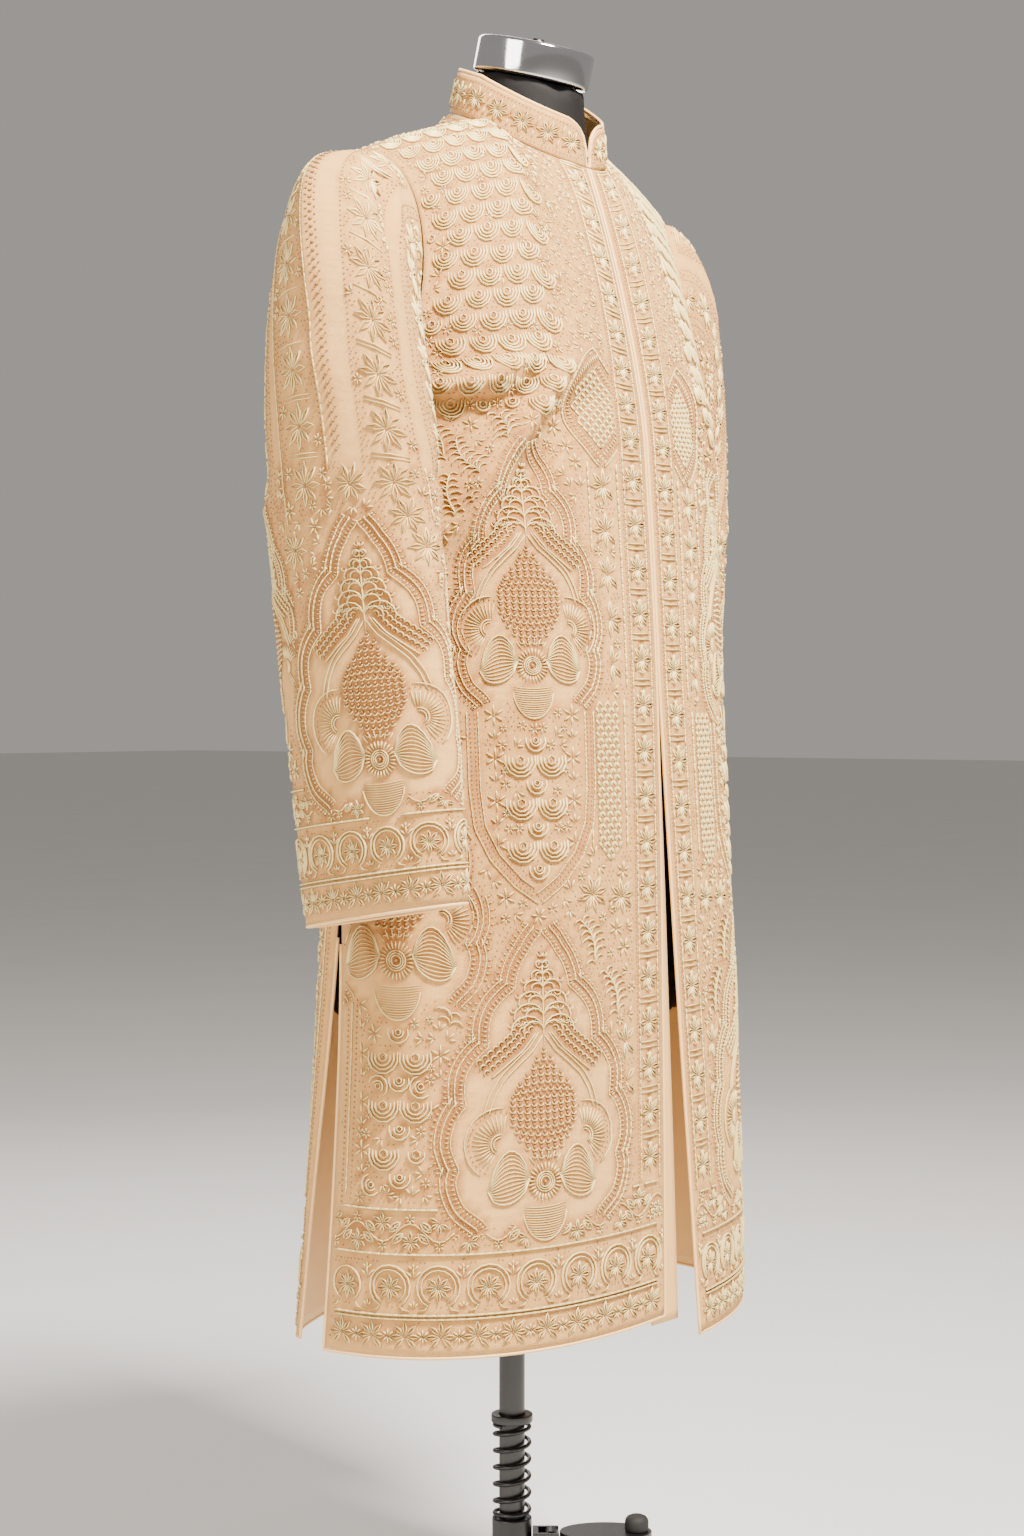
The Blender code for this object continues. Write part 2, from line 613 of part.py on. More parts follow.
def build_torso(cover):
    """Closed torso that follows the coat at one clearance, with its leaning neck."""
    share = np.linspace(0.0, NECK_SHARE, 5)
    share = np.concatenate([share, np.linspace(NECK_SHARE, 0.90, 5)[1:]])
    z = np.linspace(FORM_BOTTOM_Z + 0.012, UNDERARM_Z, 9)
    rise = np.linspace(0.0, 1.0, 8)[1:]
    right = torso_half(-1.0, share, z, rise)
    left = torso_half(1.0, share, z, rise)
    whole = np.concatenate([right, left[:, ::-1][:, 1:-1]], axis=1)
    foot = whole[:1] * np.array((0.93, 0.93, 1.0)) - np.array((0.0, 0.0, 0.012))
    whole = np.concatenate([foot, whole])
    rows, count = whole.shape[:2]
    verts = whole.reshape(-1, 3)
    faces = grid_faces(rows, count, True)
    faces.append(tuple(reversed(range(count))))

    neck_share = share[share <= NECK_SHARE + 1e-9]
    quarters = []
    for side, face in ((-1.0, "front"), (-1.0, "back"), (1.0, "back"), (1.0, "front")):
        quarters.append(top_line(neck_share, side, face, FORM_CLEAR))
    loop = np.concatenate([quarters[0], quarters[1][::-1][1:],
                           quarters[2][1:], quarters[3][::-1][1:-1]])
    around = np.arctan2(loop[:, 0], -(loop[:, 1] + 0.018))
    under_cap = np.array(CAP_CENTRE) - tilted((0.0, 0.0, 0.5 * CAP_TALL + GAP))
    circle = np.stack([NECK_R * np.sin(around), -NECK_R * np.cos(around),
                       np.zeros(len(loop))], axis=-1)
    ring = under_cap + tilted(circle)
    neck = [loop]
    for w in np.linspace(0.0, 1.0, 6)[1:]:
        row = loop + (ring - loop) * (1.0 - (1.0 - w) ** 2.4)
        row[:, 2] = loop[:, 2] + (ring[:, 2] - loop[:, 2]) * w
        neck.append(row)
    start = len(verts)
    verts = np.concatenate([verts, np.stack(neck).reshape(-1, 3)])
    for face in grid_faces(len(neck), len(loop), True):
        faces.append(tuple(start + index for index in face))
    last = start + (len(neck) - 1) * len(loop)
    faces.append(tuple(last + col for col in range(len(loop))))
    solid("form_torso", verts, faces, cover, weld=0.0004)


def build_form(cover, chrome, dark, black):
    """Torso, chrome neck cap with its finial, pole and the collar fixed on the pole."""
    build_torso(cover)
    half = 0.5 * CAP_TALL
    edge = 0.0015
    profile = [(0.0, -half), (CAP_R - edge, -half), (CAP_R, -half + edge),
               (CAP_R, half - edge), (CAP_R - edge, half), (0.0, half)]
    lathe("neck_cap", profile, 40, chrome, CAP_CENTRE, CAP_TILT)
    foot = np.array(CAP_CENTRE) + tilted((0.0, 0.0, half + GAP))
    profile = [(0.0, 0.0), (0.0065, 0.0), (0.0065, 0.003), (0.0045, 0.006), (0.0, 0.006)]
    lathe("cap_finial", profile, 16, dark, tuple(foot), CAP_TILT)
    profile = [(0.0, POLE_BOTTOM_Z), (POLE_R, POLE_BOTTOM_Z),
               (POLE_R, FORM_BOTTOM_Z - GAP), (0.0, FORM_BOTTOM_Z - GAP)]
    lathe("pole", profile, 24, black)
    low = SPRING_TOP_Z
    high = low + 0.007
    profile = [(POLE_R + GAP, low), (0.0168, low), (0.0178, low + 0.001),
               (0.0178, high - 0.001), (0.0168, high), (POLE_R + GAP, high)]
    lathe("pole_collar", profile, 24, black, ring=True)


# ---------------------------------------------------------------- stand and pedal
def build_stand(black, iron):
    """Weighted base, tube, buffer spring and the bracket with its pivot pin."""
    profile = [(0.0, 0.0), (BASE_R, 0.0), (BASE_R + 0.003, 0.004), (BASE_R, 0.009),
               (0.060, 0.0165), (0.040, BASE_TOP_Z), (0.0, BASE_TOP_Z)]
    lathe("stand_base", profile, 48, iron)
    low = BASE_TOP_Z + GAP
    edge = 0.0008
    profile = [(TUBE_BORE, low), (TUBE_R, low), (TUBE_R, TUBE_TOP_Z - edge),
               (TUBE_R - edge, TUBE_TOP_Z), (TUBE_BORE + edge, TUBE_TOP_Z),
               (TUBE_BORE, TUBE_TOP_Z - edge)]
    lathe("stand_tube", profile, 28, black, ring=True)

    low = TUBE_TOP_Z + GAP + SPRING_WIRE
    high = SPRING_TOP_Z - GAP - SPRING_WIRE
    flat = 0.75
    turns = np.linspace(0.0, SPRING_TURNS + 2.0 * flat, 66)
    climb = np.clip((turns - flat) / SPRING_TURNS, 0.0, 1.0)
    angle = turns * 2.0 * math.pi
    pitch = 2.0 * SPRING_WIRE + GAP
    ends = np.clip(turns / flat, 0.0, 1.0) - 1.0 + np.clip((turns - flat - SPRING_TURNS) / flat,
                                                          0.0, 1.0)
    z = low + pitch * flat + (high - low - 2.0 * pitch * flat) * climb + ends * pitch * flat
    path = np.stack([SPRING_R * np.cos(angle), SPRING_R * np.sin(angle), z], axis=-1)
    tube("buffer_spring", path, SPRING_WIRE, black)

    outline = [(0.0178, -0.012), (0.0225, -0.012), (0.0400, -0.012), (0.0400, -0.0085),
               (0.0225, -0.0085), (0.0225, 0.0085), (0.0400, 0.0085), (0.0400, 0.012),
               (0.0178, 0.012)]
    prism("pedal_bracket", outline, PIVOT_Z - 0.011, PIVOT_Z + 0.0055, black,
          (0.0, 0.0, 0.0), PEDAL_TURN)
    cross_bar("pedal_pin", 0.0, 0.0030, 0.0085 - GAP, black, (0.0, 0.0, 0.0))


def pivot_point():
    """Middle of the pedal's hinge."""
    return (PIVOT_OUT * math.cos(PEDAL_TURN), PIVOT_OUT * math.sin(PEDAL_TURN), PIVOT_Z)


def cross_bar(name, bore, radius, half_long, made_of, origin):
    """Round bar, or bush when it has a bore, along the pedal's hinge line."""
    if bore > 0.0:
        profile = [(bore, -half_long), (radius, -half_long), (radius, half_long),
                   (bore, half_long)]
    else:
        profile = [(0.0, -half_long), (radius, -half_long), (radius, half_long),
                   (0.0, half_long)]
    item = lathe(name, profile, 20, made_of, ring=bore > 0.0)
    axis = (-math.sin(PEDAL_TURN), math.cos(PEDAL_TURN), 0.0)
    out = np.array((math.cos(PEDAL_TURN), math.sin(PEDAL_TURN), 0.0))
    centre = np.array(pivot_point()) - np.asarray(origin)
    for vertex in item.data.vertices:
        x, y, z = vertex.co
        vertex.co = centre + out * x + np.array((0.0, 0.0, 1.0)) * y + np.array(axis) * z
    work = bmesh.new()
    work.from_mesh(item.data)
    bmesh.ops.recalc_face_normals(work, faces=work.faces)
    work.to_mesh(item.data)
    work.free()
    item.location = tuple(origin)


def build_pedal(black, rubber):
    """Pedal that turns about the pin: bush, oval plate and round knob."""
    pivot = pivot_point()
    cross_bar("pedal_bush", 0.0030 + GAP, 0.0066, 0.0080, black, pivot)
    begin = PIVOT_OUT + 0.0066 + GAP
    long_ = 0.0395
    angle = np.linspace(math.pi, -math.pi, 33)[:-1]
    outline = np.stack([begin + long_ + long_ * np.cos(angle), 0.0250 * np.sin(angle)], axis=-1)
    prism("pedal_plate", outline, PIVOT_Z - 0.001, PIVOT_Z + 0.0045, black, pivot, PEDAL_TURN)
    out = begin + 2.0 * long_ - 0.0130
    foot = (out * math.cos(PEDAL_TURN), out * math.sin(PEDAL_TURN), PIVOT_Z + 0.0045 + GAP)
    profile = [(0.0, 0.0), (0.0095, 0.0), (0.0102, 0.002), (0.0102, 0.008),
               (0.0088, 0.0115), (0.0050, 0.0135), (0.0, 0.0140)]
    item = lathe("pedal_knob", profile, 20, rubber, foot)
    shift = np.array(foot) - np.array(pivot)
    for vertex in item.data.vertices:
        vertex.co = np.array(vertex.co) + shift
    item.location = pivot


def main():
    clear_scene()
    cloth = material("ivory_embroidered_silk", (0.80, 0.69, 0.54), 0.60)
    plain = material("ivory_plain_silk", (0.80, 0.68, 0.52), 0.50)
    trim = material("ivory_piping", (0.82, 0.73, 0.60), 0.45)
    cover = material("black_form_cover", (0.012, 0.012, 0.013), 0.85)
    chrome = material("chrome_cap", (0.80, 0.80, 0.80), 0.06, 1.0)
    dark = material("dark_finial", (0.05, 0.035, 0.03), 0.40)
    black = material("black_painted_steel", (0.015, 0.015, 0.016), 0.35)
    iron = material("black_cast_iron", (0.020, 0.020, 0.021), 0.55)
    rubber = material("black_rubber_knob", (0.018, 0.018, 0.018), 0.60)
    build_body(cloth, plain, trim)
    build_collar(cloth, trim)
    build_sleeve(-1.0, cloth, trim)
    build_sleeve(1.0, cloth, trim)
    build_form(cover, chrome, dark, black)
    build_stand(black, iron)
    build_pedal(black, rubber)


main()
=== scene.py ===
# %% [markdown]
# # A sherwani coat on its dress form
# A sherwani is a long coat, closed down the front, with a stand collar. This one is ivory
# silk covered with raised cream thread and small beads, and it hangs on a limbless dress
# form with a chrome neck cap and a sprung pedal stand. The hard frame comes first and stays
# as it is. Every piece of cloth is then made again as a thin surface on the same sizes.

# %% Open the frame
import math

import bmesh
import bpy
import numpy as np
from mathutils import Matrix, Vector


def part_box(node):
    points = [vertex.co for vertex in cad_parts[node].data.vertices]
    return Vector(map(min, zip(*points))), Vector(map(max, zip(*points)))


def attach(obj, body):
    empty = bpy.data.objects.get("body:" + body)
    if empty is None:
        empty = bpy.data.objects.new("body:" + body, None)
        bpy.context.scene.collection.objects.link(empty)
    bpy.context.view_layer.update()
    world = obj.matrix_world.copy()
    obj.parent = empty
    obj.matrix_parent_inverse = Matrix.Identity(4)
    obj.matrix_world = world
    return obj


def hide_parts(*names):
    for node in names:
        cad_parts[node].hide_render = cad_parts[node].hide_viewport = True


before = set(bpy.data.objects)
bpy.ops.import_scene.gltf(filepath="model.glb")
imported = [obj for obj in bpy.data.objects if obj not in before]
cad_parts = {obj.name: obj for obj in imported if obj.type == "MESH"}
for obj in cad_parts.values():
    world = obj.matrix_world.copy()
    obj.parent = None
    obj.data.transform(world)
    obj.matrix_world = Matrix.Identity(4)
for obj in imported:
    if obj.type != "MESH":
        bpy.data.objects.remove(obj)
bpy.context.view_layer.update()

# %% [markdown]
# ## Camera, floor and light
# The camera stands to the wearer's right and a little in front, at the height of the hips,
# and looks slightly down. A small panel high in front draws a shadow under each thread,
# a large one at the side and one behind soften it, and a pale sky fills the rest.

# %% Camera
VIEW_SIDE = math.radians(-52.0)      # how far round from the front the camera stands
VIEW_DOWN = math.radians(1.21)
VIEW_FAR = 2.3
VIEW_HIGH = 0.85

eye = np.array((math.sin(VIEW_SIDE) * VIEW_FAR, -math.cos(VIEW_SIDE) * VIEW_FAR, VIEW_HIGH))
lens = bpy.data.cameras.new("camera")
lens.sensor_width = 36.0
lens.lens = 63.28
camera = bpy.data.objects.new("camera", lens)
camera.location = eye
camera.rotation_euler = (0.5 * math.pi - VIEW_DOWN, 0.0, VIEW_SIDE)
bpy.context.scene.collection.objects.link(camera)
bpy.context.scene.camera = camera
print("camera at", np.round(eye, 3))


# %% Floor and lights
def light_panel(name, place, aim, wide, tall, power, colour):
    """Rectangular lamp at a place, turned so that it faces the aim."""
    lamp = bpy.data.lights.new(name, "AREA")
    lamp.shape = "RECTANGLE"
    lamp.size = wide
    lamp.size_y = tall
    lamp.energy = power
    lamp.color = colour
    item = bpy.data.objects.new(name, lamp)
    facing = bpy_vector(np.array(aim) - np.array(place))
    item.rotation_euler = facing.to_track_quat("-Z", "Y").to_euler()
    item.location = place
    bpy.context.scene.collection.objects.link(item)


def bpy_vector(values):
    """The same numbers as one of Blender's vectors."""
    return camera.location.__class__(tuple(float(value) for value in values))


light_panel("key_panel", (-0.5, -1.7, 3.15), (0.0, -0.05, 0.8), 0.6, 0.6, 455.0,
            (1.0, 0.94, 0.86))
light_panel("fill_panel", (-2.7, 0.1, 1.9), (0.0, 0.0, 0.8), 1.4, 1.8, 80.0,
            (1.0, 0.94, 0.87))
light_panel("rim_panel", (1.6, 1.9, 2.2), (0.0, 0.0, 0.9), 1.4, 1.4, 40.0,
            (1.0, 0.96, 0.92))
sky = bpy.data.worlds.new("pale_sky")
sky.use_nodes = True
sky.node_tree.nodes["Background"].inputs["Color"].default_value = (1.0, 0.95, 0.89, 1.0)
sky.node_tree.nodes["Background"].inputs["Strength"].default_value = 0.36
bpy.context.scene.world = sky
print("three panels and a pale sky")

# %% [markdown]
# ## Shader sums
# A finish is a small sum: weave height is a product of two waves, and colour is a blend by
# noise. A class that wraps a socket lets those sums be written as plain Python.


# %% Shader sums
class Sock:
    """A shader socket whose sums, products and powers are Math nodes."""

    def __init__(self, tree, out):
        self.tree = tree
        self.out = out

    def maths(self, operation, *values):
        """One Math node on these values."""
        node = self.tree.nodes.new("ShaderNodeMath")
        node.operation = operation
        for place, value in enumerate(values):
            plug(self.tree, value, node.inputs[place])
        return Sock(self.tree, node.outputs[0])

    def __add__(self, other):
        return self.maths("ADD", self, other)

    def __mul__(self, other):
        return self.maths("MULTIPLY", self, other)

    def __pow__(self, other):
        return self.maths("POWER", self, other)

    __radd__ = __add__
    __rmul__ = __mul__

    def sine(self):
        """Sine of the value, from -1 to 1."""
        return self.maths("SINE", self)


def plug(tree, value, socket):
    """Link a Sock to a socket, or set a plain number or colour on it."""
    if isinstance(value, Sock):
        tree.links.new(value.out, socket)
    elif isinstance(value, tuple) and len(value) == 3 and socket.type == "RGBA":
        socket.default_value = (*value, 1.0)
    else:
        socket.default_value = value


def srgb(red, green, blue):
    """Screen colour from 0 to 255 as linear light."""
    part = np.array((red, green, blue)) / 255.0
    line = np.where(part <= 0.04045, part / 12.92, ((part + 0.055) / 1.055) ** 2.4)
    return tuple(float(value) for value in line)


class Finish:
    """One material: its constants are set first, then what changes over the surface."""

    def __init__(self, name, **constants):
        self.material = bpy.data.materials.new(name)
        self.material.use_nodes = True
        self.tree = self.material.node_tree
        self.shader = self.tree.nodes["Principled BSDF"]
        for word, value in constants.items():
            self.feed(word.replace("_", " ").title(), value)

    def feed(self, socket, value):
        """Set or link one input of the Principled shader."""
        socket = {"Ior": "IOR", "Specular Level": "Specular IOR Level"}.get(socket, socket)
        plug(self.tree, value, self.shader.inputs[socket])

    def node(self, kind, settings=None, values=None, out=0):
        """Any other node: settings such as a ramp's stops first, then socket values."""
        made = self.tree.nodes.new("ShaderNode" + kind)
        for word, value in (settings or {}).items():
            if word == "stops":
                ramp = made.color_ramp.elements
                ramp[0].position, ramp[0].color = value[0][0], (*value[0][1], 1.0)
                ramp[1].position, ramp[1].color = value[-1][0], (*value[-1][1], 1.0)
                for place, colour in value[1:-1]:
                    ramp.new(place).color = (*colour, 1.0)
            else:
                setattr(made, word, value)
        for socket, value in (values or {}).items():
            plug(self.tree, value, made.inputs[socket])
        return Sock(self.tree, made.outputs[out])

    def place(self):
        """Object coordinates."""
        return self.node("TexCoord", out="Object")

    def across(self, vector):
        """The three parts of a vector."""
        made = self.tree.nodes.new("ShaderNodeSeparateXYZ")
        plug(self.tree, vector, made.inputs[0])
        return [Sock(self.tree, made.outputs[part]) for part in range(3)]

    def noise(self, scale, detail=3.0, rough=0.5):
        """Cloudy value from 0 to 1 on Object coordinates."""
        return self.node("TexNoise", {}, {"Vector": self.place(), "Scale": scale,
                                          "Detail": detail, "Roughness": rough})

    def own(self, word):
        """The piece's own value of that name."""
        return self.node("Attribute", {"attribute_name": word}, out="Fac")

    def blend(self, share, first, second):
        """Colour between two colours."""
        made = self.tree.nodes.new("ShaderNodeMix")
        made.data_type = "RGBA"
        plug(self.tree, share, made.inputs["Factor"])
        plug(self.tree, first, made.inputs[6])
        plug(self.tree, second, made.inputs[7])
        return Sock(self.tree, made.outputs[2])

    def bump(self, height, strength, far):
        """Small relief from a height, far metres tall."""
        normal = self.node("Bump", {}, {"Height": height, "Strength": strength,
                                        "Distance": far})
        self.feed("Normal", normal)


print("shader sums ready")

# %% [markdown]
# ## The cloth's finish
# The ground is a matt silk with a fine plain weave, 0.45 mm between threads, and a faint
# cloudiness from pressing. Where thread lies thick, the ground is darkened towards a painted
# shade colour. Raised thread is glossier; its crown is paler as a painted highlight and its
# foot darker as painted shade, so each thread carries a value named rise, 0 at its foot
# and 1 on its crown.


# %% Cloth, thread and bead finishes
def weave(finish, pitch):
    """Plain weave height: the product of two sine waves in the piece's own UV, in metres."""
    u, v, _ = finish.across(finish.node("UVMap", {"uv_map": "cloth"}))
    step = 2.0 * math.pi / pitch
    return (u * step).sine() * (v * step).sine() * 0.5 + 0.5


def cloth_finish(name, light, deep, rough, sheen, pitch=0.00045, relief=0.35, puckers=1.0,
                 worked=None):
    """Silk whose colour drifts between two shades, with puckers drawn in by the sewing; where
    thread lies thick it is darkened towards a painted shade colour, if one is given.
    """
    made = Finish(name, sheen_weight=sheen, sheen_roughness=0.45)
    threads = weave(made, pitch)
    drift = made.noise(9.0, 4.0)
    slub = made.noise(700.0, 2.0)
    u, v, _ = made.across(made.node("UVMap", {"uv_map": "cloth"}))
    stretched = made.node("CombineXYZ", {}, {"X": u * 42.0, "Y": v * 105.0})
    pucker = made.node("TexNoise", {}, {"Vector": stretched, "Scale": 1.0, "Detail": 1.5})
    share = drift * 0.55 + slub * 0.2 + pucker * 0.25
    tone = made.blend(share, light, deep)
    # darker towards the painted shade colour where thread lies thick
    made.feed("Base Color", made.blend(made.own("worked"), tone, worked) if worked else tone)
    made.feed("Roughness", share * 0.1 + rough)
    made.bump(pucker * puckers + threads * 0.1 + slub * 0.06, relief, 0.002)
    return made


def thread_finish(name, crown, foot, rough):
    """Raised thread: paler on its crown as a painted highlight and darker at its foot as
    painted shade, with the small uneven gloss of twisted silk.
    """
    made = Finish(name, sheen_weight=0.05, specular_level=0.45)
    rise = made.own("rise")
    uneven = made.noise(260.0, 2.0)
    # dark foot as painted shade and pale crown as a painted highlight, blended by rise with a
    # little random tone
    made.feed("Base Color", made.blend(rise * 0.86 + uneven * 0.24, foot, crown))
    made.feed("Roughness", uneven * 0.18 + rough)
    made.bump(made.noise(1500.0, 1.0), 0.25, 0.0002)
    return made


# the last colour is painted shade for the ground between close threads
ground = cloth_finish("embroidered_silk_ground", srgb(250, 193, 112), srgb(242, 180, 95), 0.56,
                      0.06, relief=1.2, worked=srgb(186, 120, 50))
plain_silk = cloth_finish("plain_silk_cloth", srgb(236, 187, 114), srgb(226, 171, 96),
                          0.46, 0.06, puckers=0.4)
piping_silk = cloth_finish("satin_piping_cord", srgb(250, 206, 136), srgb(236, 184, 110),
                           0.4, 0.1, pitch=0.0009, puckers=0.1)
# crown colour: the thread's cream brightened as a painted highlight; foot colour: painted shade
thread = thread_finish("raised_cream_thread", srgb(255, 227, 148), srgb(96, 48, 14), 0.4)
bead = Finish("small_tan_bead", coat_weight=0.25, coat_roughness=0.18, specular_level=0.5)
bead_shade = bead.noise(420.0, 1.0)
# by rise the bead's foot is darkened as painted shade and its tip lightened as a painted
# highlight; the noise part is random tone
bead.feed("Base Color", bead.blend(bead_shade * 0.35 + bead.own("rise") * 0.35,
                                   srgb(100, 60, 26), srgb(206, 156, 94)))
bead.feed("Roughness", bead_shade * 0.15 + 0.22)
print("finishes:", [made.material.name for made in (ground, plain_silk, thread, bead)])

# %% [markdown]
# ## The coat's form
# A coat panel is a surface of two parameters: how far round the body (share of the ring)
# and how high. The rings are rounded rectangles, read from a short table of sizes, and
# above the underarm each column is a cubic that leans over the shoulder. These
# sizes and rules are the solid frame's own, so the thin cloth lies exactly on it.

# %% Sizes of the coat, in metres
CLOTH = 0.002
HEM_Z = 0.345
SLIT_Z = 0.7
UNDERARM_Z = 1.06
PART_Z = 0.88
SLIT_GAP = 0.044
SLIT_STEP = 0.018
FRONT_EDGE = 0.0036
LEFT_SWING = 0.034
LEFT_LIFT = 0.01
HEM_RISE = {-1: 0.012, 1: -0.008}
NECK_HALF = 0.071
NECK_MID_Y = -0.014
NECK_MIDDLE = {"front": (-0.081, 1.3), "back": (0.045, 1.358)}
NECK_SIDE_Z = 1.3375
TIP = (0.222, -0.004, 1.284)
NECK_SHARE = 0.4
ARMHOLE = {"front": 0.215, "back": 0.15}
CUFF_SLANT = 0.165
BODY_COLUMNS = ("z", "right", "left", "front", "back", "seam", "square_f", "square_b")
BODY = np.array([
    (0.345, 0.224, 0.231, -0.161, 0.126, 0.036, 2.45, 1.52),
    (0.480, 0.221, 0.227, -0.160, 0.119, 0.022, 2.45, 1.60),
    (0.620, 0.216, 0.220, -0.158, 0.112, 0.011, 2.45, 1.70),
    (0.740, 0.211, 0.213, -0.156, 0.106, 0.006, 2.40, 1.80),
    (0.870, 0.205, 0.206, -0.152, 0.100, 0.004, 2.35, 1.95),
    (0.960, 0.201, 0.202, -0.147, 0.104, 0.003, 2.35, 2.10),
    (1.060, 0.198, 0.199, -0.140, 0.116, 0.002, 2.35, 2.25),
])
SLEEVE_COLUMNS = ("z", "out", "y", "half_x", "half_y")
SLEEVE = {
    -1: np.array([
        (0.696, 0.2520, -0.075, 0.0320, 0.0750),
        (0.800, 0.2505, -0.063, 0.0345, 0.0770),
        (0.910, 0.2490, -0.048, 0.0365, 0.0785),
        (1.020, 0.2470, -0.036, 0.0385, 0.0790),
    ]),
    1: np.array([
        (0.696, 0.2540, 0.032, 0.0320, 0.0660),
        (0.800, 0.2520, 0.030, 0.0340, 0.0680),
        (0.910, 0.2495, 0.028, 0.0360, 0.0700),
        (1.020, 0.2470, 0.022, 0.0380, 0.0710),
    ]),
}
SIDES = {-1: "right", 1: "left"}
HANDS = (-1.0, 1.0)
TURN = 2.0 * math.pi


# %% Rings and columns
def even(count):
    """Even shares from 0 to 1."""
    return np.linspace(0.0, 1.0, count)


def floats(values):
    """Any list of numbers as an array."""
    return np.asarray(values, dtype=float)


def gone_along(points):
    """Distance gone along a line at each of its points."""
    steps = np.linalg.norm(np.diff(points, axis=0), axis=-1)
    return np.concatenate([[0.0], np.cumsum(steps)])


def hermite(start, leave, end, arrive, w):
    """Cubic from start to end with two end tangents, at share w."""
    return ((2.0 * w ** 3 - 3.0 * w ** 2 + 1.0) * start + (w ** 3 - 2.0 * w ** 2 + w) * leave
            + (3.0 * w ** 2 - 2.0 * w ** 3) * end + (w ** 3 - w ** 2) * arrive)


def smooth(at, known_at, known):
    """Cubic curve through a short table, its slopes taken from the neighbours."""
    at = np.clip(floats(at), known_at[0], known_at[-1])
    slope = np.gradient(known, known_at)
    cell = np.clip(np.searchsorted(known_at, at) - 1, 0, len(known_at) - 2)
    width = known_at[cell + 1] - known_at[cell]
    w = (at - known_at[cell]) / width
    return hermite(known[cell], slope[cell] * width, known[cell + 1], slope[cell + 1] * width, w)


def unit(vectors):
    """Vectors of length one."""
    return vectors / np.maximum(np.linalg.norm(vectors, axis=-1, keepdims=True), 1e-12)


def size(name, z):
    """One column of the BODY table at the heights z."""
    return smooth(z, BODY[:, 0], BODY[:, BODY_COLUMNS.index(name)])


def parted(z):
    """0 where the fronts are fastened, 1 at the hem."""
    return np.clip((PART_Z - z) / (PART_Z - HEM_Z), 0.0, 1.0)


def level(z, u, side, face):
    """Rings: x = half sin(a)^k, y = seam + (middle - seam) cos(a)^k, walked at even steps."""
    z = floats(z)
    open_share = np.clip((SLIT_Z - z) / (SLIT_Z - HEM_Z), 0.0, 1.0) ** 0.7
    toward = -1.0 if face == "front" else 1.0
    seam = size("seam", z) + toward * 0.5 * SLIT_GAP * open_share
    half = size(SIDES[side], z)
    middle = size(face, z)
    start = np.full(len(z), FRONT_EDGE if face == "front" else 0.0)
    if face == "front" and side > 0:
        start = start + LEFT_SWING * parted(z) ** 1.2
    if face == "back":
        half = half - SLIT_STEP * open_share
    power = 2.0 / size("square_f" if face == "front" else "square_b", z)[:, None]
    begin = np.arcsin((start / half)[:, None] ** (1.0 / power))
    angle = begin + (0.5 * math.pi - begin) * even(161)[None, :]
    x = half[:, None] * np.sin(angle) ** power
    y = seam[:, None] + (middle - seam)[:, None] * np.abs(np.cos(angle)) ** power
    steps = np.hypot(np.diff(x, axis=1), np.diff(y, axis=1))
    gone = np.concatenate([np.zeros((len(z), 1)), np.cumsum(steps, axis=1)], axis=1)
    out = np.zeros((len(z), len(u), 3))
    for row in range(len(z)):
        want = u * gone[row, -1]
        out[row, :, 0] = side * np.interp(want, gone[row], x[row])
        out[row, :, 1] = np.interp(want, gone[row], y[row])
        out[row, :, 2] = z[row]
    if face == "front":
        low = (np.clip(UNDERARM_Z - z, 0.0, 1.0) / (UNDERARM_Z - HEM_Z))[:, None] ** 2
        out[..., 2] += HEM_RISE[side] * low * (1.0 - u) ** 1.3
        if side > 0:
            out[..., 1] -= LEFT_LIFT * (parted(z)[:, None] ** 1.5) * (1.0 - u) ** 2
    return out


def top_line(u, side, face):
    """Neckline as a quarter ellipse, then the shoulder seam as a straight line."""
    middle_y, middle_z = NECK_MIDDLE[face]
    begin = math.asin(FRONT_EDGE / NECK_HALF) if face == "front" else 0.0
    turn = begin + (0.5 * math.pi - begin) * np.clip(u / NECK_SHARE, 0.0, 1.0)
    out = np.clip((u - NECK_SHARE) / (1.0 - NECK_SHARE), 0.0, 1.0)
    x = NECK_HALF * np.sin(turn) + (TIP[0] - NECK_HALF) * out
    y = NECK_MID_Y + (middle_y - NECK_MID_Y) * np.cos(turn) + (TIP[1] - NECK_MID_Y) * out
    z = NECK_SIDE_Z + (middle_z - NECK_SIDE_Z) * np.cos(turn)
    z = z + (TIP[2] - NECK_SIDE_Z) * out + 0.003 * np.sin(math.pi * out)
    return np.stack([side * x, y, z], axis=-1)


def yoke(u, rise, side, face):
    """Columns above the underarm: cubics from the underarm ring to the top line."""
    flat = floats(u).reshape(-1)
    low = level(np.array([UNDERARM_Z]), flat, side, face)[0]
    below = level(np.array([UNDERARM_Z - 0.02]), flat, side, face)[0]
    top = top_line(flat, side, face)
    reach = np.linalg.norm(top - low, axis=-1, keepdims=True)
    leave = (low - below) / 0.02 * reach * 0.9
    leave[:, 0] *= 0.3
    back = 1.0 if face == "front" else -1.0
    on_neck = 1.0 - np.clip(flat / NECK_SHARE, 0.0, 1.0)
    steep = 0.95 if face == "front" else 1.0
    lean = np.stack([np.zeros_like(flat), back * (1.0 - 0.62 * on_neck), steep * on_neck],
                    axis=-1)
    arrive = unit(lean) * reach * 0.62
    w = np.repeat(rise[:, None], u.shape[1], axis=1).reshape(-1, 1)
    return hermite(low, leave, top, arrive, w).reshape(u.shape + (3,))


def armhole(rise, face):
    """Share of the columns that the armhole leaves: 1 - depth sin(pi rise)^0.75."""
    return 1.0 - ARMHOLE[face] * np.sin(math.pi * rise) ** 0.75


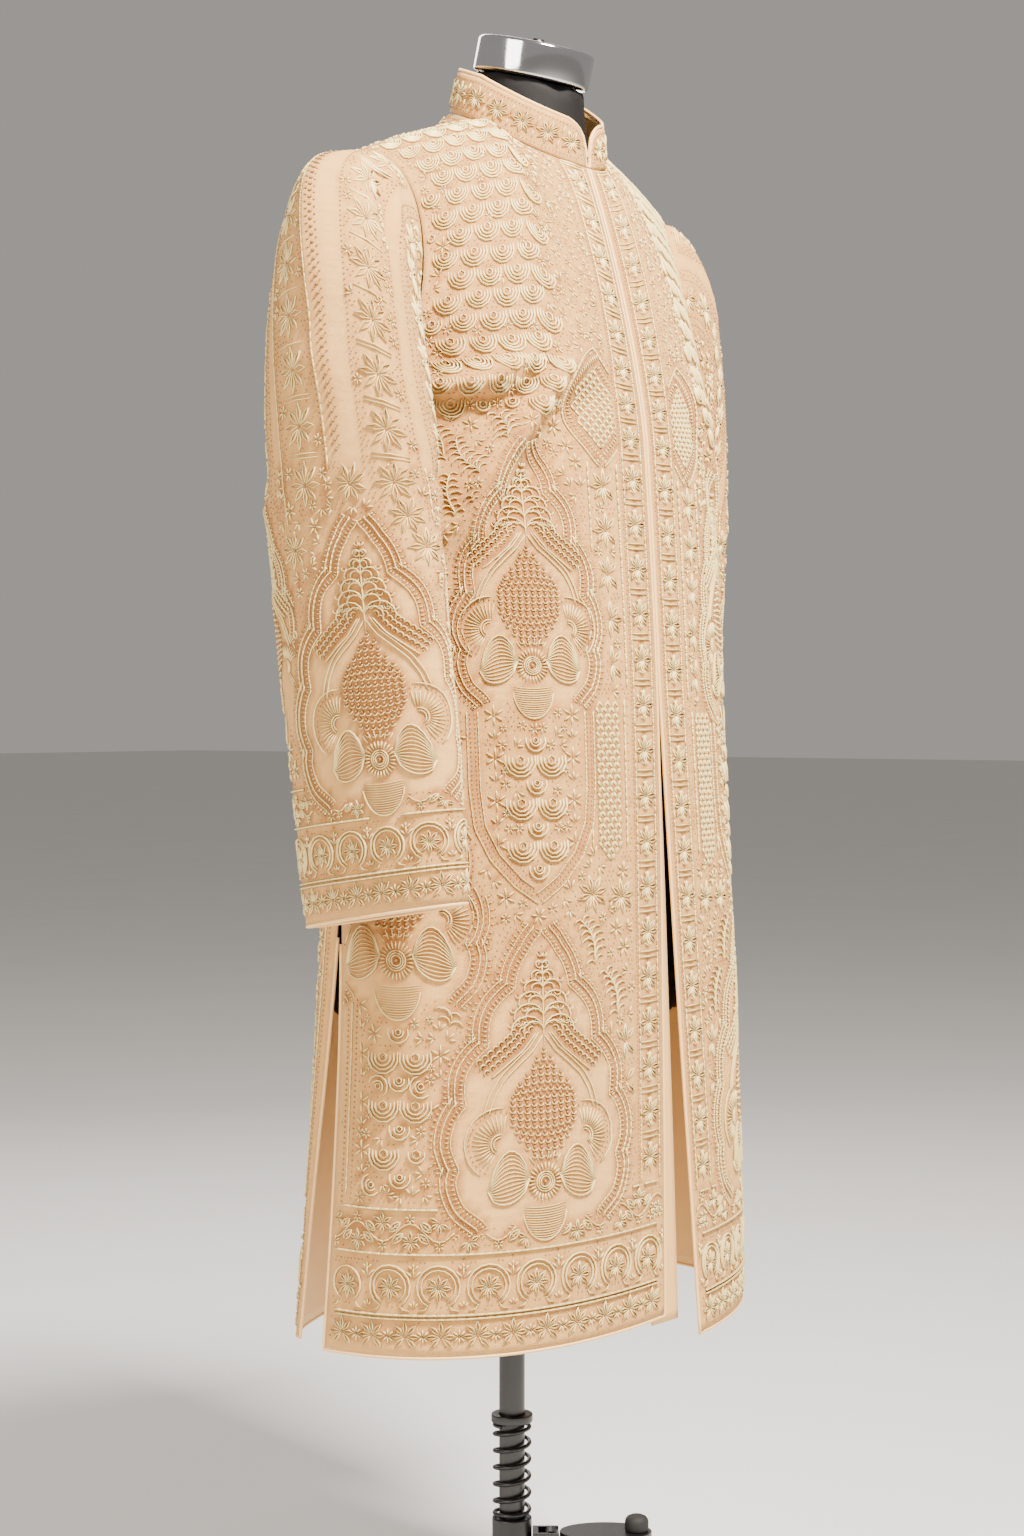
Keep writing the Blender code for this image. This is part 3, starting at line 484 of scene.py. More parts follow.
def panel(side, face, cols, rows_low, rows_high):
    """Half the coat: rows from the hem up, columns from the centre line to the side."""
    share = even(cols + 1) * (1.0 - 0.0006)
    low = level(np.linspace(HEM_Z, UNDERARM_Z, rows_low + 1), share, side, face)
    rise = even(rows_high + 1)
    keep = armhole(rise, face)
    high = yoke(share[None, :] * keep[:, None], rise * (1.0 - 0.0007), side, face)
    return np.concatenate([low, high[1:]], axis=0)


print("a coarse front is", panel(-1, "front", 4, 6, 3).shape, "points")

# %% [markdown]
# ## Cloth as a chart
# Embroidery is planned on flat cloth, so each panel also serves as its own chart: p is the
# distance along the cloth from its first edge and v the distance up from its hem. Reading
# a place on the chart gives the point and the outward normal on the hanging cloth, and a
# straight stitch on the plan bends with every crease.


# %% Meshes from arrays
def put_mesh(name, points, faces, finish, values=None, uv=None):
    """Smooth-shaded mesh object; faces is a list of index arrays, values live on points."""
    points = np.asarray(points, dtype=np.float32).reshape(-1, 3)
    corners = np.concatenate([group.reshape(-1) for group in faces]).astype(np.int32)
    sizes = np.concatenate([np.full(len(group), group.shape[1]) for group in faces])
    starts = np.concatenate([[0], np.cumsum(sizes)[:-1]]).astype(np.int32)
    mesh = bpy.data.meshes.new(name)
    mesh.vertices.add(len(points))
    mesh.vertices.foreach_set("co", points.ravel())
    mesh.loops.add(len(corners))
    mesh.loops.foreach_set("vertex_index", corners)
    mesh.polygons.add(len(sizes))
    mesh.polygons.foreach_set("loop_start", starts)
    mesh.update(calc_edges=True)
    mesh.polygons.foreach_set("use_smooth", np.ones(len(sizes), dtype=bool))
    for word, value in (values or {}).items():
        layer = mesh.attributes.new(word, "FLOAT", "POINT")
        layer.data.foreach_set("value", np.asarray(value, dtype=np.float32).ravel())
    if uv is not None:
        layer = mesh.uv_layers.new(name="cloth")
        flat_uv = np.asarray(uv, dtype=np.float32).reshape(-1, 2)
        layer.data.foreach_set("uv", flat_uv[corners].ravel())
    mesh.materials.append(finish.material)
    item = bpy.data.objects.new(name, mesh)
    bpy.context.scene.collection.objects.link(item)
    return item


def quads(rows, cols, wrap=False, hand=1):
    """Index quads of a grid, wound so that hand = 1 faces along columns x rows."""
    row = np.arange(rows - 1)[:, None]
    col = np.arange(cols if wrap else cols - 1)[None, :]
    after = (col + 1) % cols
    made = np.stack([row * cols + col, row * cols + after, (row + 1) * cols + after,
                     (row + 1) * cols + col], axis=-1).reshape(-1, 4)
    return made if hand > 0 else made[:, ::-1]


def skin(rows, sides, closed):
    """Faces of rings in turn: the last joins the first, or both ends are capped."""
    col = np.arange(sides)
    after, last = (col + 1) % sides, (rows - 1) * sides
    ends = ([np.stack([last + col, last + after, after, col], axis=-1)] if closed
            else [col[None, ::-1], last + col[None]])
    return [quads(rows, sides, wrap=True)] + ends


class Chart:
    """Points and normals of a grid of cloth, read by p along and v up, in metres."""

    def __init__(self, grid, middle, zero=0, trim=0):
        self.grid = grid
        rows, cols = grid.shape[:2]
        steps = np.linalg.norm(np.diff(grid, axis=1), axis=-1)
        gone = np.concatenate([np.zeros((rows, 1)), np.cumsum(steps, axis=1)], axis=1)
        self.p = gone - gone[:, zero:zero + 1]
        climb = np.linalg.norm(np.diff(grid, axis=0), axis=-1)[:, trim:cols - trim].mean(axis=1)
        self.v = np.concatenate([[0.0], np.cumsum(climb)])
        normal = unit(np.cross(np.gradient(grid, axis=1, edge_order=2),
                               np.gradient(grid, axis=0, edge_order=2)))
        self.hand = 1 if np.sum(normal * (grid - middle)) > 0.0 else -1
        self.normal = normal * self.hand
        self.keys = (self.p + 10.0 * np.arange(rows)[:, None]).reshape(-1)

    def row_place(self, row, p):
        """Point and normal at p on whole rows, straight between the row's own points."""
        cols = self.grid.shape[1]
        left = np.searchsorted(self.keys, 10.0 * row + p) - 1 - row * cols
        left = np.clip(left, 0, cols - 2)
        start = self.p[row, left]
        w = np.clip((p - start) / (self.p[row, left + 1] - start), 0.0, 1.0)[..., None]
        point = self.grid[row, left] * (1.0 - w) + self.grid[row, left + 1] * w
        normal = self.normal[row, left] * (1.0 - w) + self.normal[row, left + 1] * w
        return point, normal

    def place(self, spots):
        """Points and unit normals at spots (..., 2) of the chart."""
        p, v = spots[..., 0], spots[..., 1]
        at = np.interp(v, self.v, np.arange(len(self.v)))
        row = np.clip(at.astype(int), 0, len(self.v) - 2)
        w = (at - row)[..., None]
        low, low_normal = self.row_place(row, p)
        high, high_normal = self.row_place(row + 1, p)
        return low * (1.0 - w) + high * w, unit(low_normal * (1.0 - w) + high_normal * w)

    def ends(self, v):
        """Lowest and highest p of the cloth at the heights v."""
        return np.interp(v, self.v, self.p[:, 0]), np.interp(v, self.v, self.p[:, -1])

    def inside(self, spots, margin=0.002):
        """True where spots lie on the cloth, a margin in from its edges."""
        low, high = self.ends(spots[..., 1])
        return ((spots[..., 0] > low + margin) & (spots[..., 0] < high - margin)
                & (spots[..., 1] > margin) & (spots[..., 1] < self.v[-1] - margin))


print("mesh and chart tools ready")

# %% [markdown]
# ## Creases
# Heavy embroidered silk makes few folds, and those are soft: a ridge where the cloth is
# dragged towards the arm, with a hollow beside it. Each row below is one such fold, laid
# from one place on the chart to another, no two alike.

# %% Fold tables
# All in millimetres: p and v of both ends, bow sideways, width, ridge height, hollow depth
# and its distance to the left of the fold's own direction (minus for the right).
CREASES = {
    "front_right": (
        (74, 786, 172, 662, 6, 10, 14, 6.6, -24),
        (165, 668, 236, 628, -8, 10.5, 7, 4, -22),
        (118, 778, 212, 758, -6, 9.5, 12, 6, -21),
        (140, 722, 215, 706, 0, 24, -6.4, 0, 10),
        (147, 636, 196, 572, 3, 6.4, 6, 3, -13),
        (172, 650, 226, 598, -3, 7.2, 5, 2.8, 15),
        (188, 560, 236, 520, 4, 9, 2.6, 1.8, 18),
        (66, 622, 83, 566, 2, 6, 1.8, 1.2, 12),
        (158, 256, 206, 212, 2, 4.8, 2.2, 1.2, 10),
        (176, 214, 212, 192, -1, 4, 1.4, 0.9, 8),
        (186, 178, 214, 170, 1, 3.6, 1.3, 0.8, 8),
        (188, 158, 213, 153, -1, 3.4, 1.2, 0.7, 7),
        (60, 214, 88, 207, 1, 3.6, 1.2, 0.8, 8),
        (58, 186, 80, 183, -1, 3.6, 1.2, 0.8, 8),
        (60, 156, 82, 150, 1, 3.4, 1.1, 0.7, 7),
        (262, 500, 272, 60, 6, 26, 2.6, 1.4, 45),
        (100, 900, 55, 960, 4, 16, 1.4, 1, 26),
    ),
    "front_left": (
        (80, 792, 160, 680, 5, 10.5, 5.5, 2.8, -26),
        (130, 774, 208, 752, -5, 10, 4.5, 3, -20),
        (150, 640, 204, 576, 3, 7, 2.8, 1.6, -15),
        (184, 572, 232, 536, -3, 8, 2.4, 1.4, 16),
        (92, 500, 100, 140, 8, 22, 2, 1.6, 44),
        (218, 480, 228, 50, -6, 26, 2.8, 1.6, 48),
        (180, 186, 206, 176, 1, 3.8, 1.2, 0.8, 8),
        (184, 162, 206, 158, 1, 3.6, 1.1, 0.7, 7),
    ),
    "back": (
        (60, 640, 190, 740, 12, 13, 4, 3, 30),
        (-70, 650, -182, 722, -10, 14, 3.4, 3, -30),
        (40, 590, 150, 612, 6, 10, 2.6, 2, 22),
        (-50, 575, -165, 600, -6, 11, 3, 1.8, -24),
        (120, 480, 138, 40, 8, 28, 3.4, 2, 50),
        (-106, 500, -128, 50, -10, 26, 3.2, 2, -48),
        (216, 460, 222, 80, 4, 22, 2.2, 1.4, -40),
        (-210, 440, -226, 70, 4, 24, 2.4, 1.4, 40),
        (150, 800, 196, 880, 6, 12, 3, 2, -24),
        (-146, 810, -190, 890, -6, 12, 2.6, 2, 24),
    ),
    "sleeve_right": (
        (62, 590, 96, 520, 4, 6.2, 5.8, 6, -16),
        (-30, 420, 20, 400, 3, 14, 1.8, 1.4, 28),
        (85, 330, 140, 300, 4, 11, 2.8, 2, 22),
        (-130, 340, -60, 300, 4, 12, 3, 2.2, 24),
        (-150, 260, -80, 240, -3, 10, 2.4, 1.8, 20),
        (-12, 300, 6, 200, 3, 6, 1, 0.8, 11),
        (-20, 140, 0, 122, 1, 4, 1.4, 1, 8),
        (70, 205, 90, 160, 2, 5, 1.2, 1, 10),
    ),
    "sleeve_left": (
        (56, 585, 88, 515, 4, 6.6, 4.2, 4, -16),
        (-20, 430, 30, 404, 3, 14, 1.8, 1.4, 26),
        (80, 320, 130, 282, 4, 11, 2.6, 2, 22),
        (-120, 350, -60, 318, 4, 12, 2.8, 2, 24),
        (-140, 250, -75, 226, -3, 10, 2.4, 1.8, 20),
    ),
}


# %% Fold maker
HOLLOW_WIDER = 1.5                   # how much wider a hollow is than its ridge
FADE_SOONER = 1.9                    # 2 would end each fold just at its two ends


def creased(chart, rows):
    """Grid pushed along its normals by each fold.

    Across a fold the push is ridge exp(-(d/width)^2) - hollow exp(-((d-away)/1.5 width)^2),
    and both fade as the fourth power of the distance past the fold's middle.
    """
    p = chart.p
    v = np.repeat(chart.v[:, None], p.shape[1], axis=1)
    push = np.zeros_like(p)
    for p0, v0, p1, v1, bow, wide, ridge, hollow, away in np.array(rows) / 1000.0:
        run = np.array((p1 - p0, v1 - v0))
        long_ = np.hypot(*run)
        run = run / long_
        along = ((p - p0) * run[0] + (v - v0) * run[1]) / long_
        beside = -(p - p0) * run[1] + (v - v0) * run[0]
        beside = beside - bow * (1.0 - (2.0 * along - 1.0) ** 2)
        fade = np.exp(-np.abs(FADE_SOONER * (along - 0.5)) ** 4.0)
        push += ridge * np.exp(-(beside / wide) ** 2) * fade
        push -= hollow * np.exp(-((beside - away) / (HOLLOW_WIDER * wide)) ** 2) * fade
    return chart.grid + chart.normal * push[..., None]


BODY_MIDDLE = np.array((0.0, -0.02, 0.9))
FRONT_CELLS = (46, 96, 44)          # columns, rows below and rows above the underarm
BACK_CELLS = (38, 88, 40)
charts = {}
for side, word in SIDES.items():
    name = "front_" + word
    flat = Chart(panel(side, "front", *FRONT_CELLS), BODY_MIDDLE)
    charts[name] = Chart(creased(flat, CREASES[name]), BODY_MIDDLE)
half_back = {side: panel(side, "back", *BACK_CELLS) for side in SIDES}
whole = np.concatenate([half_back[-1][:, ::-1], half_back[1][:, 1:]], axis=1)
flat = Chart(whole, BODY_MIDDLE, zero=BACK_CELLS[0])
charts["back"] = Chart(creased(flat, CREASES["back"]), BODY_MIDDLE, zero=BACK_CELLS[0])


# %% [markdown]
# ## Sleeves
# A sleeve is set in at the armhole: its head starts from the very edge that the front and
# the back leave, swells over the shoulder and runs down to a slanting cuff. The chart is
# opened along the inside of the arm, and its p is nought on the outer face.


# %% Sleeve surfaces
def sleeve_ring(side, psi, z):
    """Sections x = out - a |cos|^k, y = y0 - b |sin|^k, the cuff rising towards the front."""
    table = SLEEVE[side]
    read = {word: smooth(z, table[:, 0], table[:, place])[:, None]
            for place, word in enumerate(SLEEVE_COLUMNS)}
    cos, sin = np.cos(TURN * psi[None, :]), np.sin(TURN * psi[None, :])
    power = 2.0 / 2.25
    across = np.sign(cos) * np.abs(cos) ** power
    along = np.sign(sin) * np.abs(sin) ** power
    x = side * (read["out"] - read["half_x"] * across)
    y = read["y"] - read["half_y"] * along
    slant = CUFF_SLANT * np.clip((table[-1, 0] - z) / 0.33, 0.0, 1.0)[:, None]
    return np.stack([x, y, z[:, None] + slant * read["half_y"] * along], axis=-1)


def sleeve_grid(side, per_quarter, head_rows, low_rows):
    """Sleeve from cuff to armhole, opened along the inside of the arm."""
    rise = even(2 * per_quarter + 1)
    front = yoke(armhole(rise, "front")[:, None], rise, side, "front")[:, 0]
    back = yoke(armhole(rise, "back")[:, None], rise, side, "back")[:, 0]
    loop = np.concatenate([front, back[::-1][1:]])
    psi = np.arange(len(loop)) / (len(loop) - 1.0)
    crown = np.sin(math.pi * psi)[:, None] ** 2
    loop = loop + np.array((side * 0.0014, 0.0, 0.0)) + crown * np.array((0.0, 0.0, 0.0004))
    swing = np.sin(TURN * psi)
    leave = np.stack([side * (0.03 + 0.21 * crown[:, 0]),
                      -0.055 * swing + 0.045 * np.clip(-swing, 0.0, 1.0),
                      0.03 * crown[:, 0] - 0.03], axis=-1)
    table = SLEEVE[side]
    low = sleeve_ring(side, psi, table[-1:, 0])[0]
    arrive = np.zeros_like(loop)
    arrive[:, 2] = -(0.05 + 0.45 * crown[:, 0])
    w = even(head_rows + 1)[:, None, None]
    head = hermite(loop[None], leave[None], low[None], arrive[None], w)
    body = sleeve_ring(side, psi, np.linspace(table[-1, 0], table[0, 0], low_rows + 1))
    return np.concatenate([head, body[1:]], axis=0)[::-1, ::-1]


SLEEVE_CELLS = (24, 38, 42)
for side, word in SIDES.items():
    name = "sleeve_" + word
    grid = sleeve_grid(side, *SLEEVE_CELLS)
    middle = grid.mean(axis=1, keepdims=True)
    zero = 2 * SLEEVE_CELLS[0]
    flat = Chart(grid, middle, zero=zero, trim=SLEEVE_CELLS[0])
    charts[name] = Chart(creased(flat, CREASES[name]), middle, zero=zero, trim=SLEEVE_CELLS[0])
for name, chart in charts.items():
    print(name, "length", round(chart.v[-1], 3), "p", np.round(chart.ends(0.2), 3))

# %% [markdown]
# ## Drawing with thread
# A drawing holds stitches and beads as arrays of places on a chart. A motif is a small
# drawing round its own middle, and stamping lays many turned and scaled copies at once.
# On the cloth each stitch becomes a small ridge with a three-sided section: two feet just
# under the surface and a crown, shaded as if round: six triangles for each short length.


# %% Drawings
def pair(p, v):
    """Places (..., 2) from their two parts, either of which may be one number for all."""
    return np.stack(np.broadcast_arrays(p, v), axis=-1)


class Drawing:
    """Stitches as arrays (copies, points, 2) with width and height, and beads with radii."""

    def __init__(self):
        self.stitches = []
        self.beads = []

    def stitch(self, lines, wide=0.0013, tall=0.0009):
        """Add stitches: one line (points, 2) or many (copies, points, 2)."""
        lines = floats(lines)
        self.stitches.append((lines[None] if lines.ndim == 2 else lines, wide, tall))
        return self

    def bead(self, spots, radius=0.0011):
        """Add beads at spots (copies, 2)."""
        self.beads.append((floats(spots).reshape(-1, 2), radius))
        return self

    def stamp(self, motif, at, scale=1.0, turn=0.0, flip=1.0):
        """Copies of a motif at places, each scaled, turned (degrees) and mirrored."""
        at = floats(at).reshape(-1, 2)
        scale = np.broadcast_to(floats(scale), (len(at),))
        turn = np.radians(np.broadcast_to(floats(turn), (len(at),)))
        flip = np.broadcast_to(floats(flip), (len(at),))
        if not len(at):
            return self

        def laid(points):
            x = points[..., 0] * (scale * flip)[:, None, None]
            y = points[..., 1] * scale[:, None, None]
            cos, sin = np.cos(turn)[:, None, None], np.sin(turn)[:, None, None]
            moved = pair(x * cos - y * sin, x * sin + y * cos)
            return moved + at[:, None, None, :]

        for lines, wide, tall in motif.stitches:
            made = laid(lines[None])
            self.stitches.append((made.reshape(-1, lines.shape[1], 2), wide, tall))
        for spots, radius in motif.beads:
            self.beads.append((laid(spots[None, :, None]).reshape(-1, 2), radius))
        return self

    def keep(self, test):
        """Only the stitches and beads that lie wholly where the test is true."""
        self.stitches = [(lines[test(lines).all(axis=1)], wide, tall)
                         for lines, wide, tall in self.stitches]
        self.beads = [(spots[test(spots)], radius) for spots, radius in self.beads]
        return self

    def add(self, other):
        """Take in another drawing."""
        self.stitches += other.stitches
        self.beads += other.beads
        return self

    def weight(self):
        """Triangles that the stitches and the beads will take."""
        cords = sum(len(lines) * (6 * (lines.shape[1] - 1) + 2) for lines, _, _ in self.stitches)
        return cords, sum(len(spots) for spots, _ in self.beads) * 8


def stamped(motif, at, *how, **named):
    """A fresh drawing with copies of a motif; the rest as for stamp."""
    return Drawing().stamp(motif, at, *how, **named)


SINK = 0.00025                       # how far the feet of a stitch lie under the surface
FULL_WIDE, FULL_TALL = 1.15, 1.8    # how much a padded stitch swells past its thread


def sew(name, chart, drawing, finish):
    """Stitches as ridges: feet at +-width/2 beside the line, crown one height above it."""
    points, faces, rises, count = [], [], [], 0
    for lines, wide, tall in drawing.stitches:
        if not len(lines):
            continue
        copies, steps = lines.shape[:2]
        ahead = unit(np.gradient(lines, axis=1))
        side = pair(-ahead[..., 1], ahead[..., 0])
        taper = np.ones(steps)
        taper[0] = taper[-1] = 0.6 if steps > 2 else 0.8
        half = side * (0.5 * FULL_WIDE * wide * taper)[None, :, None]
        left, left_normal = chart.place(lines + half)
        right, right_normal = chart.place(lines - half)
        crown, normal = chart.place(lines)
        ring = np.stack([left - left_normal * SINK,
                         crown + normal * (FULL_TALL * tall * taper)[None, :, None],
                         right - right_normal * SINK], axis=2)
        index = count + np.arange(copies * steps * 3).reshape(copies, steps, 3)
        here, after = index[:, :-1], index[:, 1:]
        sides = [(0, 1), (1, 2), (2, 0)]
        for a, b in sides:
            face = np.stack([here[..., a], here[..., b], after[..., b], after[..., a]], axis=-1)
            faces.append(face.reshape(-1, 4))
        caps = [index[:, 0][:, (1, 0, 2)], index[:, -1][:, (1, 2, 0)]]
        faces += caps
        points.append(ring.reshape(-1, 3))
        # rise, 0 on the feet and 1 on the crown, carries the thread's painted shade and highlight
        rises.append(np.tile((0.0, 1.0, 0.0), copies * steps))
        count += copies * steps * 3
    if chart.hand < 0:
        faces = [face[:, ::-1] for face in faces]
    return put_mesh(name, np.concatenate(points), faces, finish,
                    {"rise": np.concatenate(rises)})


BEAD_SIDES, BEAD_TALL = 5, 1.1       # sides of a bead, and its height in radii


def string_beads(name, chart, drawing, finish):
    """Beads as low five-sided domes: foot ring, tip at 1.1 radii, and a closed foot."""
    points, faces, rises, count = [], [], [], 0
    angle = np.arange(BEAD_SIDES) * TURN / BEAD_SIDES
    col = np.arange(BEAD_SIDES)
    after = (col + 1) % BEAD_SIDES
    roof = np.stack([col, after, np.full(BEAD_SIDES, BEAD_SIDES)], axis=-1)
    for spots, radius in drawing.beads:
        if not len(spots):
            continue
        middle, normal = chart.place(spots)
        across = unit(np.cross(np.broadcast_to((0.0, 0.0, 1.0), normal.shape), normal))
        up = np.cross(normal, across)
        ring = (np.cos(angle)[None, :, None] * across[:, None]
                + np.sin(angle)[None, :, None] * up[:, None])
        foot = ring * radius - normal[:, None] * SINK
        tip = normal[:, None] * radius * BEAD_TALL
        body = np.concatenate([foot, tip], axis=1) + middle[:, None]
        start = (count + np.arange(len(spots)) * (BEAD_SIDES + 1))[:, None]
        faces.append((start[..., None] + roof[None]).reshape(-1, 3))
        faces.append(start + col[None, ::-1])
        points.append(body.reshape(-1, 3))
        # rise, 0.25 on the foot ring and 1 at the tip, carries the bead's painted shade and
        # highlight
        rises.append(np.tile(np.append(np.full(BEAD_SIDES, 0.25), 1.0), len(spots)))
        count += len(spots) * (BEAD_SIDES + 1)
    return put_mesh(name, np.concatenate(points), faces, finish,
                    {"rise": np.concatenate(rises)})


print("drawing tools ready")

# %% [markdown]
# ## The alphabet of motifs
# Traditional coats repeat a few shapes: petalled stars, round eyes with nested arcs like
# fish scales, pointed leaves, feathers, and combs of short stitches that end in a bead. Each
# is a formula here, a few points long, in metres round its own middle.


# %% Small motifs
def arc(radius, start, stop, count, at=(0.0, 0.0), tall=1.0):
    """Points of a circle's arc between two angles in degrees, squashed by tall."""
    angle = np.radians(np.linspace(start, stop, count))
    return pair(at[0] + radius * np.cos(angle), at[1] + radius * tall * np.sin(angle))


def spun(line, angles):
    """Copies of a line turned about the middle."""
    turn = np.radians(floats(angles))[:, None]
    x, y = line[None, :, 0], line[None, :, 1]
    return pair(x * np.cos(turn) - y * np.sin(turn), x * np.sin(turn) + y * np.cos(turn))


def tear(long_, wide, count=7, start=0.0):
    """Petal outline: y = long (1 - cos t) / 2, x = wide/2 sin t sin(t/2), t round once."""
    t = np.linspace(0.0, TURN, count)
    return pair(0.5 * wide * np.sin(t) * np.sin(0.5 * t), start + 0.5 * long_ * (1.0 - np.cos(t)))


def ray(start, stop, count=2):
    """Straight upward line between two distances."""
    return pair(0.0, np.linspace(start, stop, count))


def star(radius, petals, wide):
    """Petals round a bead, with a small bead beyond each gap."""
    made = Drawing().stitch(spun(tear(radius, radius * wide, 5, radius * 0.14),
                                 np.arange(petals) * 360.0 / petals), 0.0012, 0.0009)
    gaps = (np.arange(petals) + 0.5) * 360.0 / petals
    made.bead((0.0, 0.0), 0.0013)
    return made.bead(spun(ray(radius * 0.8, radius * 0.8), gaps)[:, 0], 0.0008)


def eye(radius, rings):
    """Bead in a ring, cupped by nested arcs open at the top, like a fish scale."""
    made = Drawing().bead((0.0, 0.0))
    made.stitch(arc(radius * 0.27, 90.0, 450.0, 7), 0.0014, 0.0011)
    for ring in range(rings):
        share = 0.52 + 0.48 * ring / max(rings - 1, 1)
        made.stitch(arc(radius * share, 162.5, 377.5, 8), 0.0017, 0.0014)
    return made


def leaf(long_, wide):
    """Pointed leaf: two bowed edges, a midrib and slanting ribs."""
    t = even(6)
    edge = pair(0.5 * wide * np.sin(math.pi * t), long_ * t)
    made = Drawing().stitch(edge).stitch(edge * (-1.0, 1.0)).stitch(ray(0.0, long_ * 0.9, 3))
    for rib in range(2):
        low = long_ * (0.22 + 0.26 * rib)
        line = np.array(((0.0, low), (0.36 * wide, low + 0.16 * long_)))
        made.stitch(np.stack([line, line * (-1.0, 1.0)]), 0.001, 0.0007)
    return made


def plume(long_, pairs):
    """Feathered spray: a bowed stem with nested arcs that swing out on both sides."""
    t = even(9)
    stem = pair(0.16 * long_ * np.sin(math.pi * t), long_ * t)
    made = Drawing().stitch(stem, 0.0015, 0.0012)
    for twig in range(pairs):
        share = (twig + 0.35) / pairs
        size_ = long_ * (0.36 - 0.2 * share)
        foot = np.array((0.16 * long_ * math.sin(math.pi * share), long_ * share))
        for hand in HANDS:
            for nest, part in enumerate((1.0, 0.66)):
                line = arc(size_ * part * 0.62, 180.0, 28.0, 6, (size_ * part * 0.62, 0.0), 0.9)
                line = line + np.array((0.0, -0.004 * nest))
                made.stitch(line * (hand, 1.0) + foot, 0.0013, 0.001)
            tip = arc(size_ * 0.62, 28.0, 28.0, 1, (size_ * 0.62, 0.0), 0.9)
            made.bead(tip * (hand, 1.0) + foot, 0.001)
    made.bead(stem[-1:], 0.0013)
    return made


def sprig(long_):
    """Tiny spray of three leaves over a bead, for corners."""
    made = Drawing().bead((0.0, 0.0))
    made.stitch(spun(ray(0.0016, long_, 3), (-48.0, 0.0, 48.0)), 0.0018, 0.001)
    return made


BLOOM = star(0.0125, 8, 0.4)
SMALL_BLOOM = Drawing().stitch(spun(ray(0.0016, 0.0074, 3), np.arange(6) * 60.0), 0.0019, 0.0011)
SMALL_BLOOM.bead((0.0, 0.0), 0.0014)
TINY_BLOOM = Drawing().stitch(spun(ray(0.0013, 0.0044), np.arange(6) * 60.0), 0.0015, 0.001)
TINY_BLOOM.bead((0.0, 0.0), 0.001)
EYE = eye(0.012, 3)
SMALL_EYE = eye(0.0085, 2)
SPRIG = sprig(0.007)
LEAF = leaf(0.013, 0.006)
print("a bloom takes", BLOOM.weight(), "triangles, an eye", EYE.weight())


# %% Curves walked at even steps
def walk(curve, pitch, beside=0.0):
    """Places at even steps along a curve, moved beside it, and the way across it."""
    curve = floats(curve)
    gone = gone_along(curve)
    count = max(int(round(gone[-1] / pitch)), 1)
    at = np.linspace(0.0, gone[-1], count + 1)
    spots = np.stack([np.interp(at, gone, curve[:, k]) for k in range(2)], axis=-1)
    near = np.stack([np.interp(at + 0.0015, gone, curve[:, k])
                     - np.interp(at - 0.0015, gone, curve[:, k]) for k in range(2)], axis=-1)
    near = unit(near)
    across = pair(-near[:, 1], near[:, 0])
    return spots + across * beside, across


LAP = 0.001                         # how far each piece of a line runs under the next


def dashes(curve, piece, beside=0.0, wide=0.0015, tall=0.0012):
    """A cord line laid as short overlapping pieces, so that any can be left out."""
    spots, _ = walk(curve, piece, beside)
    run = unit(np.diff(spots, axis=0)) * LAP
    return Drawing().stitch(np.stack([spots[:-1] - run, spots[1:] + run], axis=1), wide, tall)


def bead_row(curve, pitch, beside=0.0, radius=0.0011):
    """Beads at even steps along a curve."""
    return Drawing().bead(walk(curve, pitch, beside)[0], radius)


def comb(curve, pitch, start, stop):
    """Short stitches straight across a curve, each with a bead at its far end."""
    spots, across = walk(curve, pitch)
    made = Drawing().stitch(np.stack([spots + across * start, spots + across * stop], axis=1),
                            0.0012, 0.0009)
    return made.bead(spots + across * (stop + 0.0012 * np.sign(stop - start)), 0.001)


def straight(p0, v0, p1, v1, count=41):
    """Straight curve on the chart."""
    t = even(count)[:, None]
    return np.array((p0, v0)) * (1.0 - t) + np.array((p1, v1)) * t


# %% [markdown]
# ## The medallion
# The largest figure is a flower under a pointed, lobed arch. From the bottom: a plain
# petal, a sunburst rosette between two veined petals, two half fans, a cone of bead-tipped
# scales under a pair of sweeping lines, and a tiered tree. The field inside the arch stays
# plain, and the arch is a band of combs, beads and cord.

# %% Medallion tables: height above the rosette's middle and half width, in millimetres
CONE = np.array(((20, 11), (30, 21), (42, 28), (56, 31.5),
                 (68, 30), (80, 24), (91, 14), (104, 3))) / 1000.0
FIELD = np.array(((197, 0), (188, 6), (178, 10), (160, 22),
                  (135, 36), (110, 48), (85, 59), (60, 68),
                  (30, 73), (4, 72), (-14, 64), (-30, 50))) / 1000.0
DOME = np.array(((1, 115), (10, 103), (22, 93), (34, 82),
                 (42, 69), (47, 54))) / 1000.0
TREE = ((177, 6, 1), (168, 10, 1), (158, 16, 2), (147, 21, 3),
        (136, 25, 3), (125, 28, 4))


# %% Medallion
LOBES, LOBE_DEPTH = 5.0, 0.008


def lobed(outline, wider):
    """Right half of the arch from its point down, with outward lobes |sin|."""
    line = pair(outline[:, 1] * wider, outline[:, 0])
    spots, across = walk(line, 0.0022)
    share = even(len(spots))
    bulge = np.abs(np.sin(math.pi * LOBES * share)) - 0.35
    bulge = LOBE_DEPTH * bulge * np.sin(math.pi * share) ** 0.4
    return spots + across * bulge[:, None]


